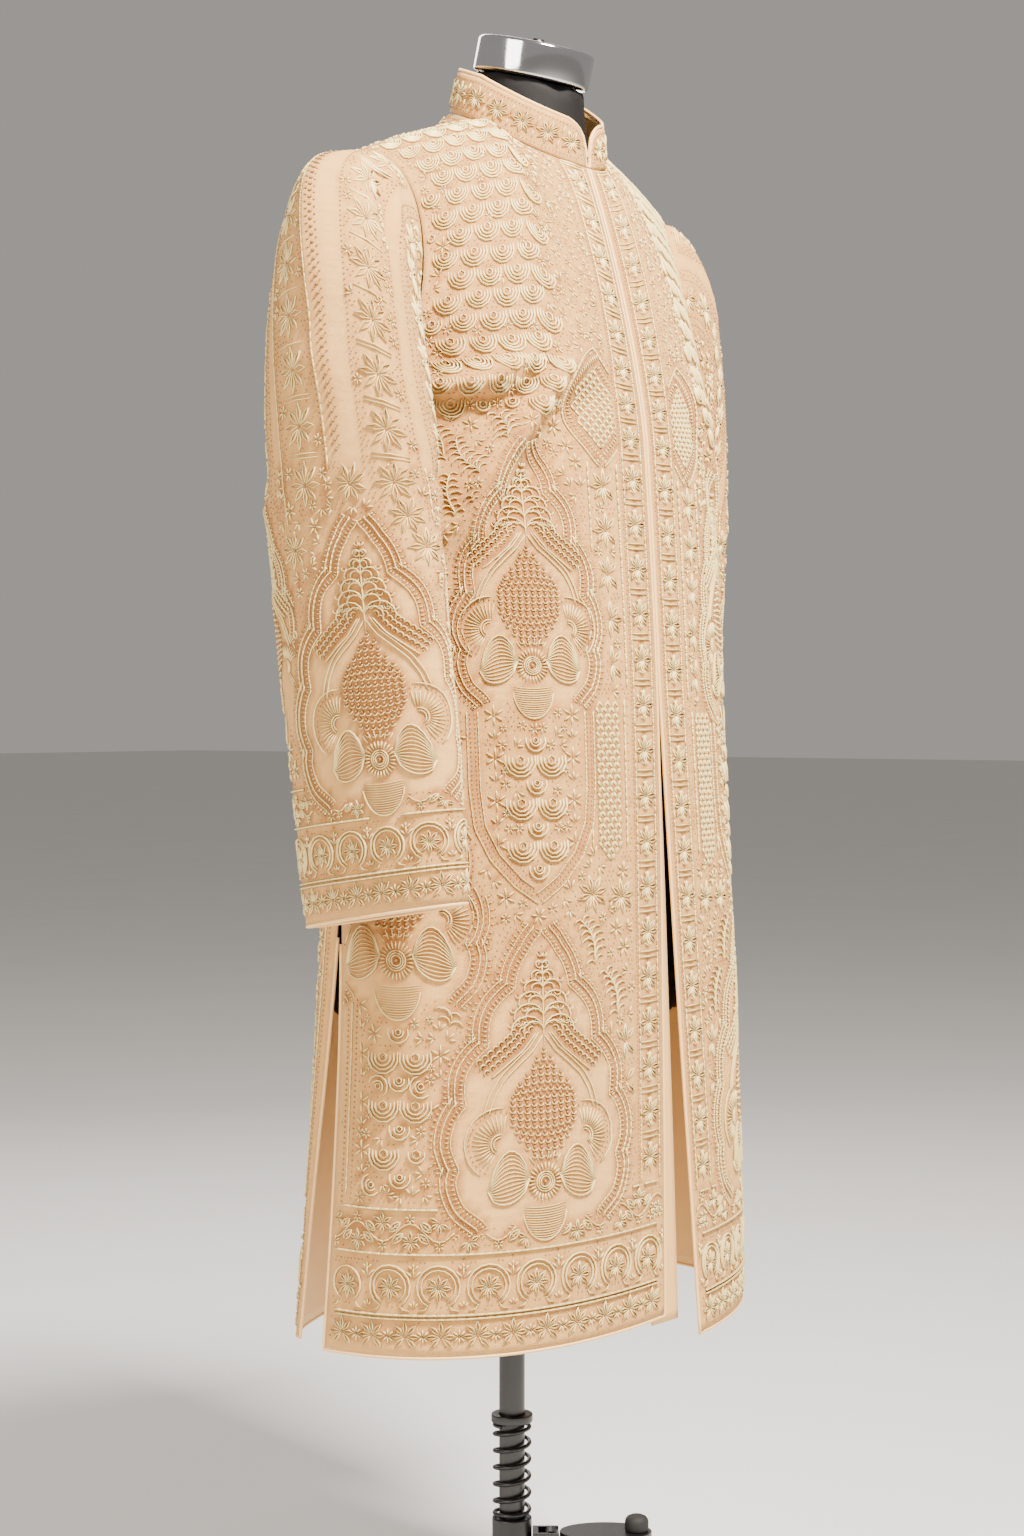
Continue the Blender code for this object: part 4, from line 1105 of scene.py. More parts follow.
def cone():
    """Rows of scales: each a cup of thread over a bead, staggered from row to row."""
    made = Drawing()
    cup = Drawing().stitch(arc(0.0027, 200.0, 340.0, 4, (0.0, 0.0004), 1.15), 0.001, 0.0009)
    cup.bead((0.0, 0.0006), 0.0019)
    rows = np.linspace(0.021, 0.104, 15)
    for number, high in enumerate(rows):
        half = np.interp(high, CONE[:, 0], CONE[:, 1])
        count = max(int(round(2.0 * half / 0.006)), 1)
        across = (np.arange(count) - 0.5 * (count - 1)) * 0.006
        bow = np.interp(high, (0.024, 0.062, 0.099), (9.0, 1.0, -12.0))
        made.stamp(cup, pair(across, high + bow * across ** 2))
    return made


def fan(hand):
    """Half fan: rays from 9 to 20 mm with bead tips, between two arcs."""
    middle = np.array((hand * 0.0375, 0.032))
    turns = np.linspace(-12.0, 150.0, 17)
    made = Drawing().stitch(spun(ray(0.0085, 0.02, 3), turns), 0.0012, 0.0009)
    made.bead(spun(ray(0.0225, 0.0225), turns)[:, 0])
    made.stitch(arc(0.007, 82.0, 238.0, 8), 0.0014, 0.001)
    made.stitch(arc(0.005, 82.0, 238.0, 7), 0.0012, 0.0009)
    made.stitch(arc(0.0255, 84.0, 236.0, 12), 0.0013, 0.001)
    return stamped(made, middle, 1.12, flip=-hand)


def veined_petal(hand):
    """Broad petal beside the rosette: nested lines from its root to its tip."""
    made = Drawing()
    t = even(9)
    root, tip = np.array((0.0135, 0.004)), np.array((0.048, -0.0045))
    spine = root + (tip - root) * t[:, None]
    swell = 0.0205 * np.sin(math.pi * t) ** 0.62
    for share in np.linspace(-1.0, 1.0, 13):
        line = spine + pair(0.0, swell * share + 0.006 * np.sin(math.pi * t))
        strong = abs(share) > 0.99
        made.stitch(line * (hand, 1.0), 0.0016 if strong else 0.001,
                    0.0012 if strong else 0.0007)
    return made


def base_petal():
    """Petal under the rosette, filled with short hatching."""
    made = Drawing()
    rows = np.linspace(-0.0185, -0.044, 14)
    half = 0.0185 * np.sqrt(np.clip(1.0 - ((rows + 0.02) / 0.0262) ** 2, 0.02, 1.0))
    t = np.linspace(-1.0, 1.0, 6)
    lines = pair(half[:, None] * t[None], rows[:, None] - 0.0016 * (1.0 - t[None] ** 2))
    made.stitch(lines, 0.0008, 0.0005)
    made.stitch(arc(0.0195, 190.0, 350.0, 13, (0.0, -0.0195), 1.38))
    return made


def rosette():
    """Sunburst: bead, three rings and a ring of rays."""
    made = Drawing().bead((0.0, 0.0), 0.0024)
    for radius in (0.0042, 0.006, 0.0078):
        made.stitch(arc(radius, 90.0, 450.0, 15))
    made.stitch(spun(ray(0.0095, 0.0152, 3), np.arange(26) * 360.0 / 26.0), 0.0015, 0.0011)
    made.stitch(spun(ray(0.0172, 0.025, 3), (-34.0, -20.0, -7.0, 7.0, 20.0, 34.0)))
    return made


CUP = Drawing().stitch(arc(0.0028, 180.0, 360.0, 5), 0.0012, 0.001).bead((0.0, 0.0002), 0.0014)


def tiers():
    """Tree: a bead finial over rows of paired curls whose lowest row trails along the dome."""
    made = Drawing().bead(((0.0, 0.185), (-0.0026, 0.1806), (0.0026, 0.1806)), 0.0012)
    made.stitch(ray(0.108, 0.172, 7), 0.0014)
    for high, half, beads in TREE:
        high, half = high / 1000.0, half / 1000.0
        for hand in HANDS:
            for part in (1.0, 0.62):
                line = arc(half * 0.5 * part, 176.0, -28.0, 8, (half * 0.5 * part, 0.0), 0.85)
                made.stitch(line * (hand, 1.0) + np.array((0.0, high - 0.006)), 0.0015, 0.0012)
            spots = np.linspace(0.25, 1.0, beads) * half * hand
            made.stamp(CUP, pair(spots, high + 0.003 - 0.1 * np.abs(spots)))
    wing = np.array(((0.007, 0.117), (0.018, 0.104), (0.031, 0.094), (0.044, 0.084)))
    line, _ = walk(wing, 0.002)
    for lift in (0.0045, 0.01, 0.0152):
        row, _ = walk(line, 0.0058, lift)
        for hand in HANDS:
            made.stamp(CUP, row * (hand, 1.0), turn=142.0 * hand, flip=hand)
    for hand in HANDS:
        made.add(Drawing().stitch(line * (hand, 1.0), 0.0013, 0.001))
    return made


def sweeping_lines():
    """Two pairs of lines from the point above the cone out to the fans."""
    made = Drawing()
    for gap in (0.0, 0.0042):
        line, _ = walk(DOME, 0.005, gap)
        for hand in HANDS:
            made.stitch(line * (hand, 1.0), 0.0013, 0.001)
    return made


MEDALLION = Drawing().add(cone()).add(rosette()).add(tiers()).add(sweeping_lines())
MEDALLION.add(base_petal())
for hand in HANDS:
    MEDALLION.add(fan(hand)).add(veined_petal(hand))
print("one medallion takes", MEDALLION.weight())


def arch(wider=1.0):
    """Band outside the lobed field: combs, beads, a cord and a second comb."""
    made = Drawing()
    for hand in HANDS:
        edge = lobed(FIELD, wider) * (hand, 1.0)
        edge = edge if hand > 0 else edge[::-1]
        made.add(dashes(edge, 0.0036, 0.0, 0.0012, 0.0009))
        made.add(comb(edge, 0.0034, 0.0016, 0.0042))
        made.add(dashes(edge, 0.004, 0.0078))
        made.add(bead_row(edge, 0.0034, 0.0104, 0.0012))
        made.add(dashes(edge, 0.004, 0.0128, 0.0013, 0.001))
        made.add(comb(edge, 0.0038, 0.0142, 0.0164))
    return made


ARCH = arch()
NARROW_ARCH = arch(0.8)
print("one arch takes", ARCH.weight())

# %% [markdown]
# ## Borders
# Three borders run round the hem and the cuffs, parted by laid cords: petalled stars at
# the very edge, then a row of horseshoe arches with a flower in each, then a flowering
# vine. The front edge has its own upright border of stars and bars between lines of beads.


# %% Borders
def spread(start, stop, pitch):
    """Middles of equal steps that fill a length, as near to the pitch as they can be."""
    count = max(int(round((stop - start) / pitch)), 1)
    return start + (np.arange(count) + 0.5) * (stop - start) / count


def star_border(p0, p1, low, high):
    """Stars with a pair of leaves and beads between them."""
    made = Drawing()
    at = spread(p0, p1, (high - low) * 1.12)
    middle = 0.5 * (low + high)
    made.stamp(star((high - low) * 0.44, 8, 0.4), pair(at, middle))
    gaps = 0.5 * (at[1:] + at[:-1])
    for turn in (0.0, 180.0):
        made.stamp(SPRIG, pair(gaps, middle), 0.8, turn)
    return made


def arcade_border(p0, p1, low, high):
    """Horseshoe arches with a flower inside each and a small tree between two."""
    made = Drawing()
    tall = high - low
    at = spread(p0, p1, tall * 0.86)
    pitch = at[1] - at[0] if len(at) > 1 else tall
    radius = 0.43 * pitch
    cell = Drawing()
    for part, wide in ((1.0, 0.0018), (0.8, 0.0013)):
        cell.stitch(arc(radius * part, -62.0, 242.0, 15, (0.0, -0.04 * tall)), wide, 0.0013)
    cell.stamp(star(radius * 0.56, 8, 0.45), (0.0, -0.06 * tall))
    foot = np.array(((radius * 0.5, -0.36 * tall), (radius * 0.62, -0.44 * tall),
                     (radius * 0.95, -0.47 * tall)))
    cell.stitch(np.stack([foot, foot * (-1.0, 1.0)]), 0.0015, 0.0011)
    made.stamp(cell, pair(at, low + 0.5 * tall))
    gaps = np.append(at, at[-1] + pitch) - 0.5 * pitch
    tree = stamped(sprig(0.0078), (0.0, 0.0)).stamp(sprig(0.0052), (0.0, 0.006))
    tree.bead((0.0, 0.0145), 0.0012)
    made.stamp(tree, pair(gaps, low + 0.62 * tall), tall / 0.043)
    made.stamp(SPRIG, pair(gaps, low + 0.1 * tall), 0.7)
    return made


LEAF_BAND = 0.034                    # height of the vine's band that its leaves are drawn for


def vine_border(p0, p1, low, high):
    """Waving stem with flowers in its bays, leaves and beads along it."""
    made = Drawing()
    tall = high - low
    wave = tall * 1.5
    middle = 0.5 * (low + high)
    count = max(int((p1 - p0) / 0.0042), 2)
    p = np.linspace(p0, p1, count)
    stem = pair(p, middle + 0.24 * tall * np.sin(TURN * p / wave))
    made.add(dashes(stem, 0.0046, 0.0, 0.0014, 0.0011))
    first, last = math.ceil(p0 / wave * 2.0), int(p1 / wave * 2.0) + 1
    bays = (np.arange(first, last) + 0.5) * 0.5 * wave
    bays = bays[bays < p1]
    even = int(round(2.0 * bays[0] / wave - 0.5)) % 2
    up = np.where(np.arange(len(bays)) % 2 == even, -1.0, 1.0)
    made.stamp(star(tall * 0.25, 6, 0.5), pair(bays, middle + up * tall * 0.24))
    for hand in (1.0, -1.0):
        made.stamp(LEAF, pair(bays + hand * 0.13 * wave, middle + up * 0.02 * tall),
                   tall / LEAF_BAND, up * 90.0 - 90.0 - hand * up * 50.0)
    made.stamp(TINY_BLOOM, pair(bays, middle - up * tall * 0.34), tall / LEAF_BAND)
    return made


def laid_cord(p0, p1, v, wide=0.0027, tall=0.0017):
    """Heavy cord across the cloth."""
    return dashes(straight(p0, v, p1, v, 80), 0.0075, 0.0, wide, tall)


def hem_borders(p0, p1, rows):
    """The three borders and their cords between the heights in rows."""
    made = star_border(p0, p1, rows[0], rows[1])
    for v in (rows[1] + 0.0013, rows[1] + 0.0043, rows[2] + 0.0015):
        made.add(laid_cord(p0, p1, v))
    made.add(arcade_border(p0, p1, rows[1] + 0.0062, rows[2] - 0.0002))
    made.add(vine_border(p0, p1, rows[2] + 0.003, rows[3] - 0.0012))
    return made


HEM_ROWS = (0.003, 0.0275, 0.0775, 0.1125)
CUFF_ROWS = (0.003, 0.0255, 0.07, 0.0985)


def edge_border(v0, v1):
    """Upright border of the front edge: stars and bars between lines of beads."""
    made = Drawing()
    at = spread(v0, v1, 0.0375)
    star_ = star(0.0108, 8, 0.42)
    bars = Drawing()
    for high in (-0.0022, 0.0022):
        bars.stitch(np.array(((-0.011, high), (0.0, high), (0.011, high))), 0.0016, 0.0012)
    bars.stamp(sprig(0.0045), (0.0, 0.0058)).stamp(sprig(0.0045), (0.0, -0.0058), turn=180.0)
    made.stamp(star_, pair(0.019, at))
    made.stamp(bars, pair(0.019, at + 0.0187))
    for p in (0.0046, 0.0334):
        line = straight(p, v0, p, v1, 120)
        made.add(bead_row(line, 0.0036, 0.0, 0.001))
        inner = 0.0022 if p > 0.02 else -0.0022
        made.add(dashes(line, 0.006, inner, 0.0011, 0.0009))
    return made


def upright(p, v0, v1, motif, pitch, **how):
    """One motif repeated up a line."""
    at = spread(v0, v1, pitch)
    return stamped(motif, pair(p, at), **how)


# %% Columns and nets
def scale_column(p, v0, v1):
    """Pairs of large eyes with a small one hanging between them, and stars each side."""
    made = Drawing()
    at = spread(v0, v1, 0.0355)
    for hand in HANDS:
        made.stamp(EYE, pair(p + hand * 0.0134, at + 0.006), 1.08)
        made.stamp(SMALL_BLOOM, pair(p + hand * 0.0335, at + 0.008), 1.1)
        made.stamp(SPRIG, pair(p + hand * 0.0335, at - 0.01), 0.95)
        made.stamp(TINY_BLOOM, pair(p + hand * 0.0262, at - 0.002), 0.7)
    made.stamp(SMALL_EYE, pair(p, at - 0.012))
    return made


def net(p0, p1, v0, v1, pitch, test):
    """Diamond net of double lines with a bead in each mesh, kept where the test is true."""
    made = Drawing()
    half = 0.5 * pitch
    tall = half * 1.15
    cell = Drawing().bead((0.0, 0.0), 0.001)
    for gap in (0.8, 1.0):
        for hand in HANDS:
            for up in (-1.0, 1.0):
                line = np.array(((0.0, up * tall * gap), (hand * half * gap, 0.0)))
                cell.stitch(line, 0.001, 0.0009)
    rows = np.arange(v0, v1, tall)
    for number, v in enumerate(rows):
        at = np.arange(p0 + (number % 2) * half, p1, pitch)
        made.stamp(cell, pair(at, v))
    return made.keep(test)


def ogee(p, v, half, tall):
    """Pointed oval: half width cos(pi y / 2)^0.85 over its height, as two side lines."""
    y = np.linspace(-1.0, 1.0, 41)
    side = half * np.cos(0.5 * math.pi * y) ** 0.85
    right = pair(p + side, v + y * tall)
    return right, pair(p - side, v + y * tall)[::-1]


def within_ogee(p, v, half, tall, grow=0.0):
    """Test for places inside such an oval, grown by a margin."""
    def test(spots):
        y = np.clip((spots[..., 1] - v) / (tall + grow), -1.0, 1.0)
        wide = half * np.cos(0.5 * math.pi * y) ** 0.85 + grow
        return (np.abs(spots[..., 0] - p) < wide) & (np.abs(spots[..., 1] - v) < tall + grow)
    return test


class Ground:
    """A drawing on a chart, and a map in 1.5 mm squares of where thread already lies."""

    CELL = 0.0015                    # side of a square
    DENSE = 3.2                      # share of thread, times this, that counts as covered

    def __init__(self, chart):
        self.drawing = Drawing()
        self.low = chart.p.min()
        self.taken = np.zeros((int(chart.v[-1] / self.CELL) + 2,
                               int((chart.p.max() - self.low) / self.CELL) + 2), dtype=bool)
        self.chart = chart

    def squares(self, spots):
        """Row and column of each spot."""
        row = np.clip((spots[..., 1] / self.CELL).astype(int), 0, self.taken.shape[0] - 1)
        col = np.clip(((spots[..., 0] - self.low) / self.CELL).astype(int), 0,
                      self.taken.shape[1] - 1)
        return row, col

    def cover(self, drawing, grow=2):
        """Mark all thread of a drawing, grown by whole squares."""
        fresh = np.zeros_like(self.taken)
        for lines, _, _ in drawing.stitches:
            fresh[self.squares(lines)] = True
            fresh[self.squares(0.5 * (lines[:, 1:] + lines[:, :-1]))] = True
        for spots, _ in drawing.beads:
            fresh[self.squares(spots)] = True
        for _ in range(grow):
            wide = fresh.copy()
            wide[1:] |= fresh[:-1]
            wide[:-1] |= fresh[1:]
            wide[:, 1:] |= fresh[:, :-1]
            wide[:, :-1] |= fresh[:, 1:]
            fresh = wide
        self.taken |= fresh

    def close(self, test):
        """Mark every square whose middle passes a test, such as a plain field."""
        rows, cols = self.taken.shape
        v, p = np.meshgrid((np.arange(rows) + 0.5) * self.CELL,
                           self.low + (np.arange(cols) + 0.5) * self.CELL, indexing="ij")
        self.taken |= test(pair(p, v))

    def worked(self):
        """Share of thread around each point of the cloth, from 0, bare, to 1, covered; the
        ground's painted shade between the threads follows it.
        """
        fresh = np.zeros(self.taken.shape)
        for lines, _, _ in self.drawing.stitches:
            fresh[self.squares(lines)] = 1.0
        for spots, _ in self.drawing.beads:
            fresh[self.squares(spots)] = 1.0
        for _ in range(3):
            for axis in (0, 1):
                fresh = (np.roll(fresh, 1, axis) + fresh + np.roll(fresh, -1, axis)) / 3.0
        v = np.broadcast_to(self.chart.v[:, None], self.chart.p.shape)
        share = fresh[self.squares(pair(self.chart.p, v))]
        return np.clip(share * self.DENSE, 0.0, 1.0)

    def free(self, spots):
        """True where no thread lies yet and the cloth goes on."""
        return ~self.taken[self.squares(spots)] & self.chart.inside(spots, 0.003)

    def room(self, at, radius):
        """The places that have a free disc of this radius round them."""
        circle = np.concatenate([arc(radius * part, 0.0, 324.0, 10) for part in (0.05, 0.55, 1.0)])
        return at[self.free(at[:, None] + circle[None]).all(axis=1)]

    def lay(self, part, test=None, grow=1):
        """Add the stitches of a part that fall on free ground, and mark them."""
        part.keep(lambda spots: self.free(spots) & (test(spots) if test else True))
        self.cover(part, grow)
        self.drawing.add(part)

    def fill(self, motif, radius, pitch, box, seed, scale=(0.9, 1.1), turns=360.0):
        """Stamp a motif on a staggered, slightly uneven grid wherever it has room."""
        rng = np.random.default_rng(seed)
        p0, p1, v0, v1 = box
        rows = np.arange(v0, v1, pitch * 0.87)
        cols = np.arange(p0, p1, pitch)
        v, p = np.meshgrid(rows, cols, indexing="ij")
        p = p + 0.5 * pitch * (np.arange(len(rows)) % 2)[:, None]
        at = pair(p, v).reshape(-1, 2)
        at = at + rng.uniform(-0.08, 0.08, at.shape) * pitch
        at = self.room(at, radius)
        made = stamped(motif, at, rng.uniform(*scale, len(at)),
                               rng.uniform(-0.5, 0.5, len(at)) * turns)
        self.cover(made, 1)
        self.drawing.add(made)


print("borders and nets ready")

# %% [markdown]
# ## Laying out the panels
# A designer places the great figures first and lets smaller ones fill what is left. The map
# of taken ground does the same: a medallion closes its own field, so that the silk inside
# stays bare, borders stop where they meet it, and small sprays go only where there is room.


# %% Figures and bands that every panel shares
def medallion(ground, p, v, scale=1.0, band=None, limit=None):
    """A medallion and its arch, with the field inside the arch closed to other thread."""
    band = band or ARCH
    wider = 0.8 if band is NARROW_ARCH else 1.0

    def field(spots):
        high = (spots[..., 1] - v) / scale
        half = np.interp(high, FIELD[::-1, 0], FIELD[::-1, 1]) * wider * scale
        return (np.abs(spots[..., 0] - p) < half) & (high > -0.03) & (high < 0.197)

    figure = stamped(MEDALLION, (p, v), scale)
    ground.lay(figure, limit, 0)
    ground.lay(stamped(band, (p, v), scale), limit, 1)
    ground.close(lambda spots: field(spots) & (limit(spots) if limit else True))
    ground.cover(figure, 2)


CROSSING = np.array(((0.0, 0.3535), (0.018, 0.366), (0.036, 0.386), (0.0475, 0.41),
                     (0.0505, 0.44), (0.0505, 0.505), (0.056, 0.53)))
BAND_HALF = 0.0044


def band_of_beads(curve):
    """Band between two cords with two rows of beads inside."""
    made = Drawing()
    for hand in HANDS:
        made.add(dashes(curve, 0.0046, hand * BAND_HALF, 0.0013, 0.001))
        made.add(bead_row(curve, 0.0036, hand * BAND_HALF * 0.42))
    return made


def slit_border(ground, hand):
    """Beads and a cord up one side slit, hand = 1 on the left of the chart; gives its line."""
    up = np.linspace(0.116, 0.35, 60)
    line = pair(ground.chart.ends(up)[1 if hand > 0 else 0] - hand * 0.0085, up)
    ground.lay(bead_row(line, 0.0042, 0.0, 0.0012))
    ground.lay(dashes(line, 0.007, hand * 0.0048, 0.0014, 0.001))
    return line


def scales(ground, box, pitch, seed, test=None):
    """Rows of eyes overlapping like fish scales, each row hiding the tops of the next."""
    p0, p1, v0, v1 = box
    rng = np.random.default_rng(seed)
    rows = np.arange(v0, v1, pitch * 0.7)
    for number, v in enumerate(rows):
        at = np.arange(p0 + (number % 2) * 0.5 * pitch, p1, pitch)
        spots = pair(at, v) + rng.uniform(-0.001, 0.001, (len(at), 2))
        spots = spots[ground.free(spots) & (test(spots) if test else True)]
        part = stamped(EYE, spots, rng.uniform(0.84, 0.94, len(spots)) * pitch / 0.024)
        ground.lay(part, test, 0)
    ground.fill(TINY_BLOOM, 0.0045, 0.0105, box, seed + 1)


def fillers(ground, box, seed, dense=True):
    """Blooms, sprays, small stars and single knots, largest first."""
    ground.fill(SMALL_BLOOM, 0.0078, 0.0172, box, seed)
    ground.fill(SPRIG, 0.0046, 0.01 if dense else 0.0125, box, seed + 1)
    ground.fill(TINY_BLOOM, 0.0042, 0.0084 if dense else 0.0105, box, seed + 2)
    if dense:
        ground.fill(TINY_BLOOM, 0.004, 0.0071, box, seed + 3)
    ground.fill(KNOT, 0.0017, 0.0042, box, seed + 4)


KNOT = Drawing().bead((0.0, 0.0), 0.001)
SMALL_FEATHER = plume(0.04, 6)
CROSS = Drawing().stitch(spun(ray(0.0012, 0.0048), (0.0, 90.0, 180.0, 270.0)))
CROSS.bead((0.0, 0.0), 0.001)


# %% Fronts
def lay_front(word, seed):
    """Everything on one front, from the great figures down to the knots."""
    chart = charts["front_" + word]
    ground = Ground(chart)
    top = chart.v[-1]
    end = lambda v: float(chart.ends(np.array([v]))[1][0])
    a, b = 0.1335, 0.2507

    ground.lay(edge_border(0.1165, top - 0.006))
    ground.close(lambda spots: (spots[..., 0] < 0.0365) & (spots[..., 1] > 0.115))
    medallion(ground, a, 0.131)
    medallion(ground, a, 0.536, 0.9, NARROW_ARCH)
    for hand in HANDS:
        ground.lay(band_of_beads(CROSSING * (hand, 1.0) + (a, 0.0)))
    medallion(ground, b, 0.3065, 1.0, NARROW_ARCH,
              lambda spots: (spots[..., 0] > 0.187) | (spots[..., 1] < 0.36))
    ground.lay(scale_column(a, 0.372, 0.506), lambda spots: np.abs(spots[..., 0] - a) < 0.0455)
    ground.lay(hem_borders(0.004, end(0.0) - 0.004, HEM_ROWS))
    ground.lay(laid_cord(0.004, end(0.11) - 0.004, 0.1138))
    ground.fill(TINY_BLOOM, 0.0034, 0.0062, (0.004, end(0.0), 0.082, 0.112), seed + 61)
    ground.fill(KNOT, 0.0016, 0.0036, (0.004, end(0.0), 0.004, 0.112), seed + 62)
    ground.close(lambda spots: spots[..., 1] < 0.115)

    ground.lay(net(0.046, 0.0795, 0.376, 0.505, 0.0085,
                   lambda spots: np.abs(spots[..., 0] - 0.0632) < 0.015 * np.clip(
                       (spots[..., 1] - 0.372) / 0.02, 0.0, 1.0)))
    for p in (0.044, 0.0822):
        ground.lay(dashes(straight(p, 0.392, p, 0.508, 60), 0.006))
    for hand in HANDS:
        for p, v in ((a + hand * 0.05, 0.3), (a + hand * 0.074, 0.258)):
            ground.lay(stamped(SMALL_FEATHER, (p, v), 0.95, hand * 22.0, hand))
    ground.lay(bead_row(slit_border(ground, 1.0), 0.0042, 0.0095, 0.0012))
    ground.lay(scale_column(b, 0.132, 0.282))
    for v0, v1, p in ((0.52, 0.7, 0.056), (0.118, 0.25, 0.05)):
        for hand in HANDS:
            ground.lay(dashes(straight(p + hand * 0.0165, v0, p + hand * 0.0165, v1, 60), 0.0065))
        ground.lay(upright(p, v0, v1, BLOOM, 0.036))
        ground.lay(upright(p, v0 + 0.018, v1, SPRIG, 0.036, scale=1.3))

    oval = (0.056, 0.752, 0.036, 0.056)
    for side_line in ogee(*oval):
        ground.lay(dashes(side_line, 0.005, 0.0, 0.0016, 0.0012), None, 0)
        ground.lay(bead_row(side_line, 0.0038, 0.003), None, 0)
        ground.lay(comb(side_line, 0.0038, 0.0058, 0.0092))
    ground.lay(net(0.015, 0.1, 0.69, 0.815, 0.0082, within_ogee(*oval, grow=-0.004)))
    ground.close(within_ogee(*oval))

    tree = lambda spots: spots[..., 1] < 0.742
    rng = np.random.default_rng(seed)
    sprays = np.array(((0.17, 0.64), (0.196, 0.655), (0.222, 0.64), (0.178, 0.69),
                       (0.206, 0.7), (0.236, 0.69), (0.154, 0.715), (0.25, 0.65)))
    for place, spot in enumerate(sprays):
        ground.lay(stamped(SMALL_FEATHER, spot, 0.85, rng.uniform(-35.0, 15.0),
                                   1.0 if place % 2 else -1.0), tree, 1)
    scales(ground, (0.098, 0.262, 0.748, top - 0.008), 0.025, seed + 10)
    scales(ground, (0.12, 0.205, 0.56, 0.6), 0.02, seed + 20)
    ground.fill(SMALL_EYE, 0.008, 0.0175, (0.18, 0.325, 0.118, 0.33), seed + 25)
    ground.fill(CROSS, 0.0062, 0.015, (0.037, 0.15, 0.8, top - 0.006), seed + 30)
    ground.fill(BLOOM, 0.0138, 0.03, (0.037, 0.3, 0.118, 0.56), seed + 40)
    fillers(ground, (0.006, 0.325, 0.116, top - 0.006), seed + 50)
    return ground


# %% Back
def lay_back(seed):
    """The back has the front's figures on its own axes, even about the middle."""
    chart = charts["back"]
    ground = Ground(chart)
    top = chart.v[-1]
    low, high = (float(part[0]) for part in chart.ends(np.array([0.0])))
    for v, scale, band in ((0.131, 1.0, ARCH), (0.536, 0.95, NARROW_ARCH)):
        medallion(ground, 0.0, v, scale, band)
    for hand in HANDS:
        medallion(ground, hand * 0.125, 0.3065, 1.0, NARROW_ARCH,
                  lambda spots: (np.abs(spots[..., 0]) > 0.055) | (spots[..., 1] < 0.36))
        medallion(ground, hand * 0.125, 0.7, 0.85, NARROW_ARCH,
                  lambda spots: np.abs(spots[..., 0]) > 0.05)
        ground.lay(band_of_beads(CROSSING * (hand, 1.0)))
        ground.lay(scale_column(hand * 0.125, 0.132, 0.282))
        ground.lay(scale_column(hand * 0.125, 0.528, 0.66))
        slit_border(ground, hand)
    ground.lay(scale_column(0.0, 0.372, 0.506), lambda spots: np.abs(spots[..., 0]) < 0.0455)
    ground.lay(hem_borders(low + 0.004, high - 0.004, HEM_ROWS))
    ground.lay(laid_cord(low + 0.004, high - 0.004, 0.1138))
    ground.fill(KNOT, 0.0016, 0.0036, (low, high, 0.004, 0.112), seed + 62)
    ground.close(lambda spots: spots[..., 1] < 0.115)
    for number, (p, v) in enumerate(((0.06, 0.3), (0.2, 0.33), (0.075, 0.25), (0.06, 0.64),
                                     (0.2, 0.64), (0.19, 0.42), (0.075, 0.7))):
        for hand in HANDS:
            ground.lay(stamped(SMALL_FEATHER, (hand * p, v), 0.95,
                                       hand * (22.0 if number % 2 else -16.0), hand))
    scales(ground, (-0.25, 0.25, 0.76, top - 0.01), 0.0265, seed + 10)
    ground.fill(BLOOM, 0.0138, 0.03, (-0.25, 0.25, 0.118, 0.76), seed + 40)
    fillers(ground, (low, high, 0.116, top - 0.006), seed + 50, False)
    return ground


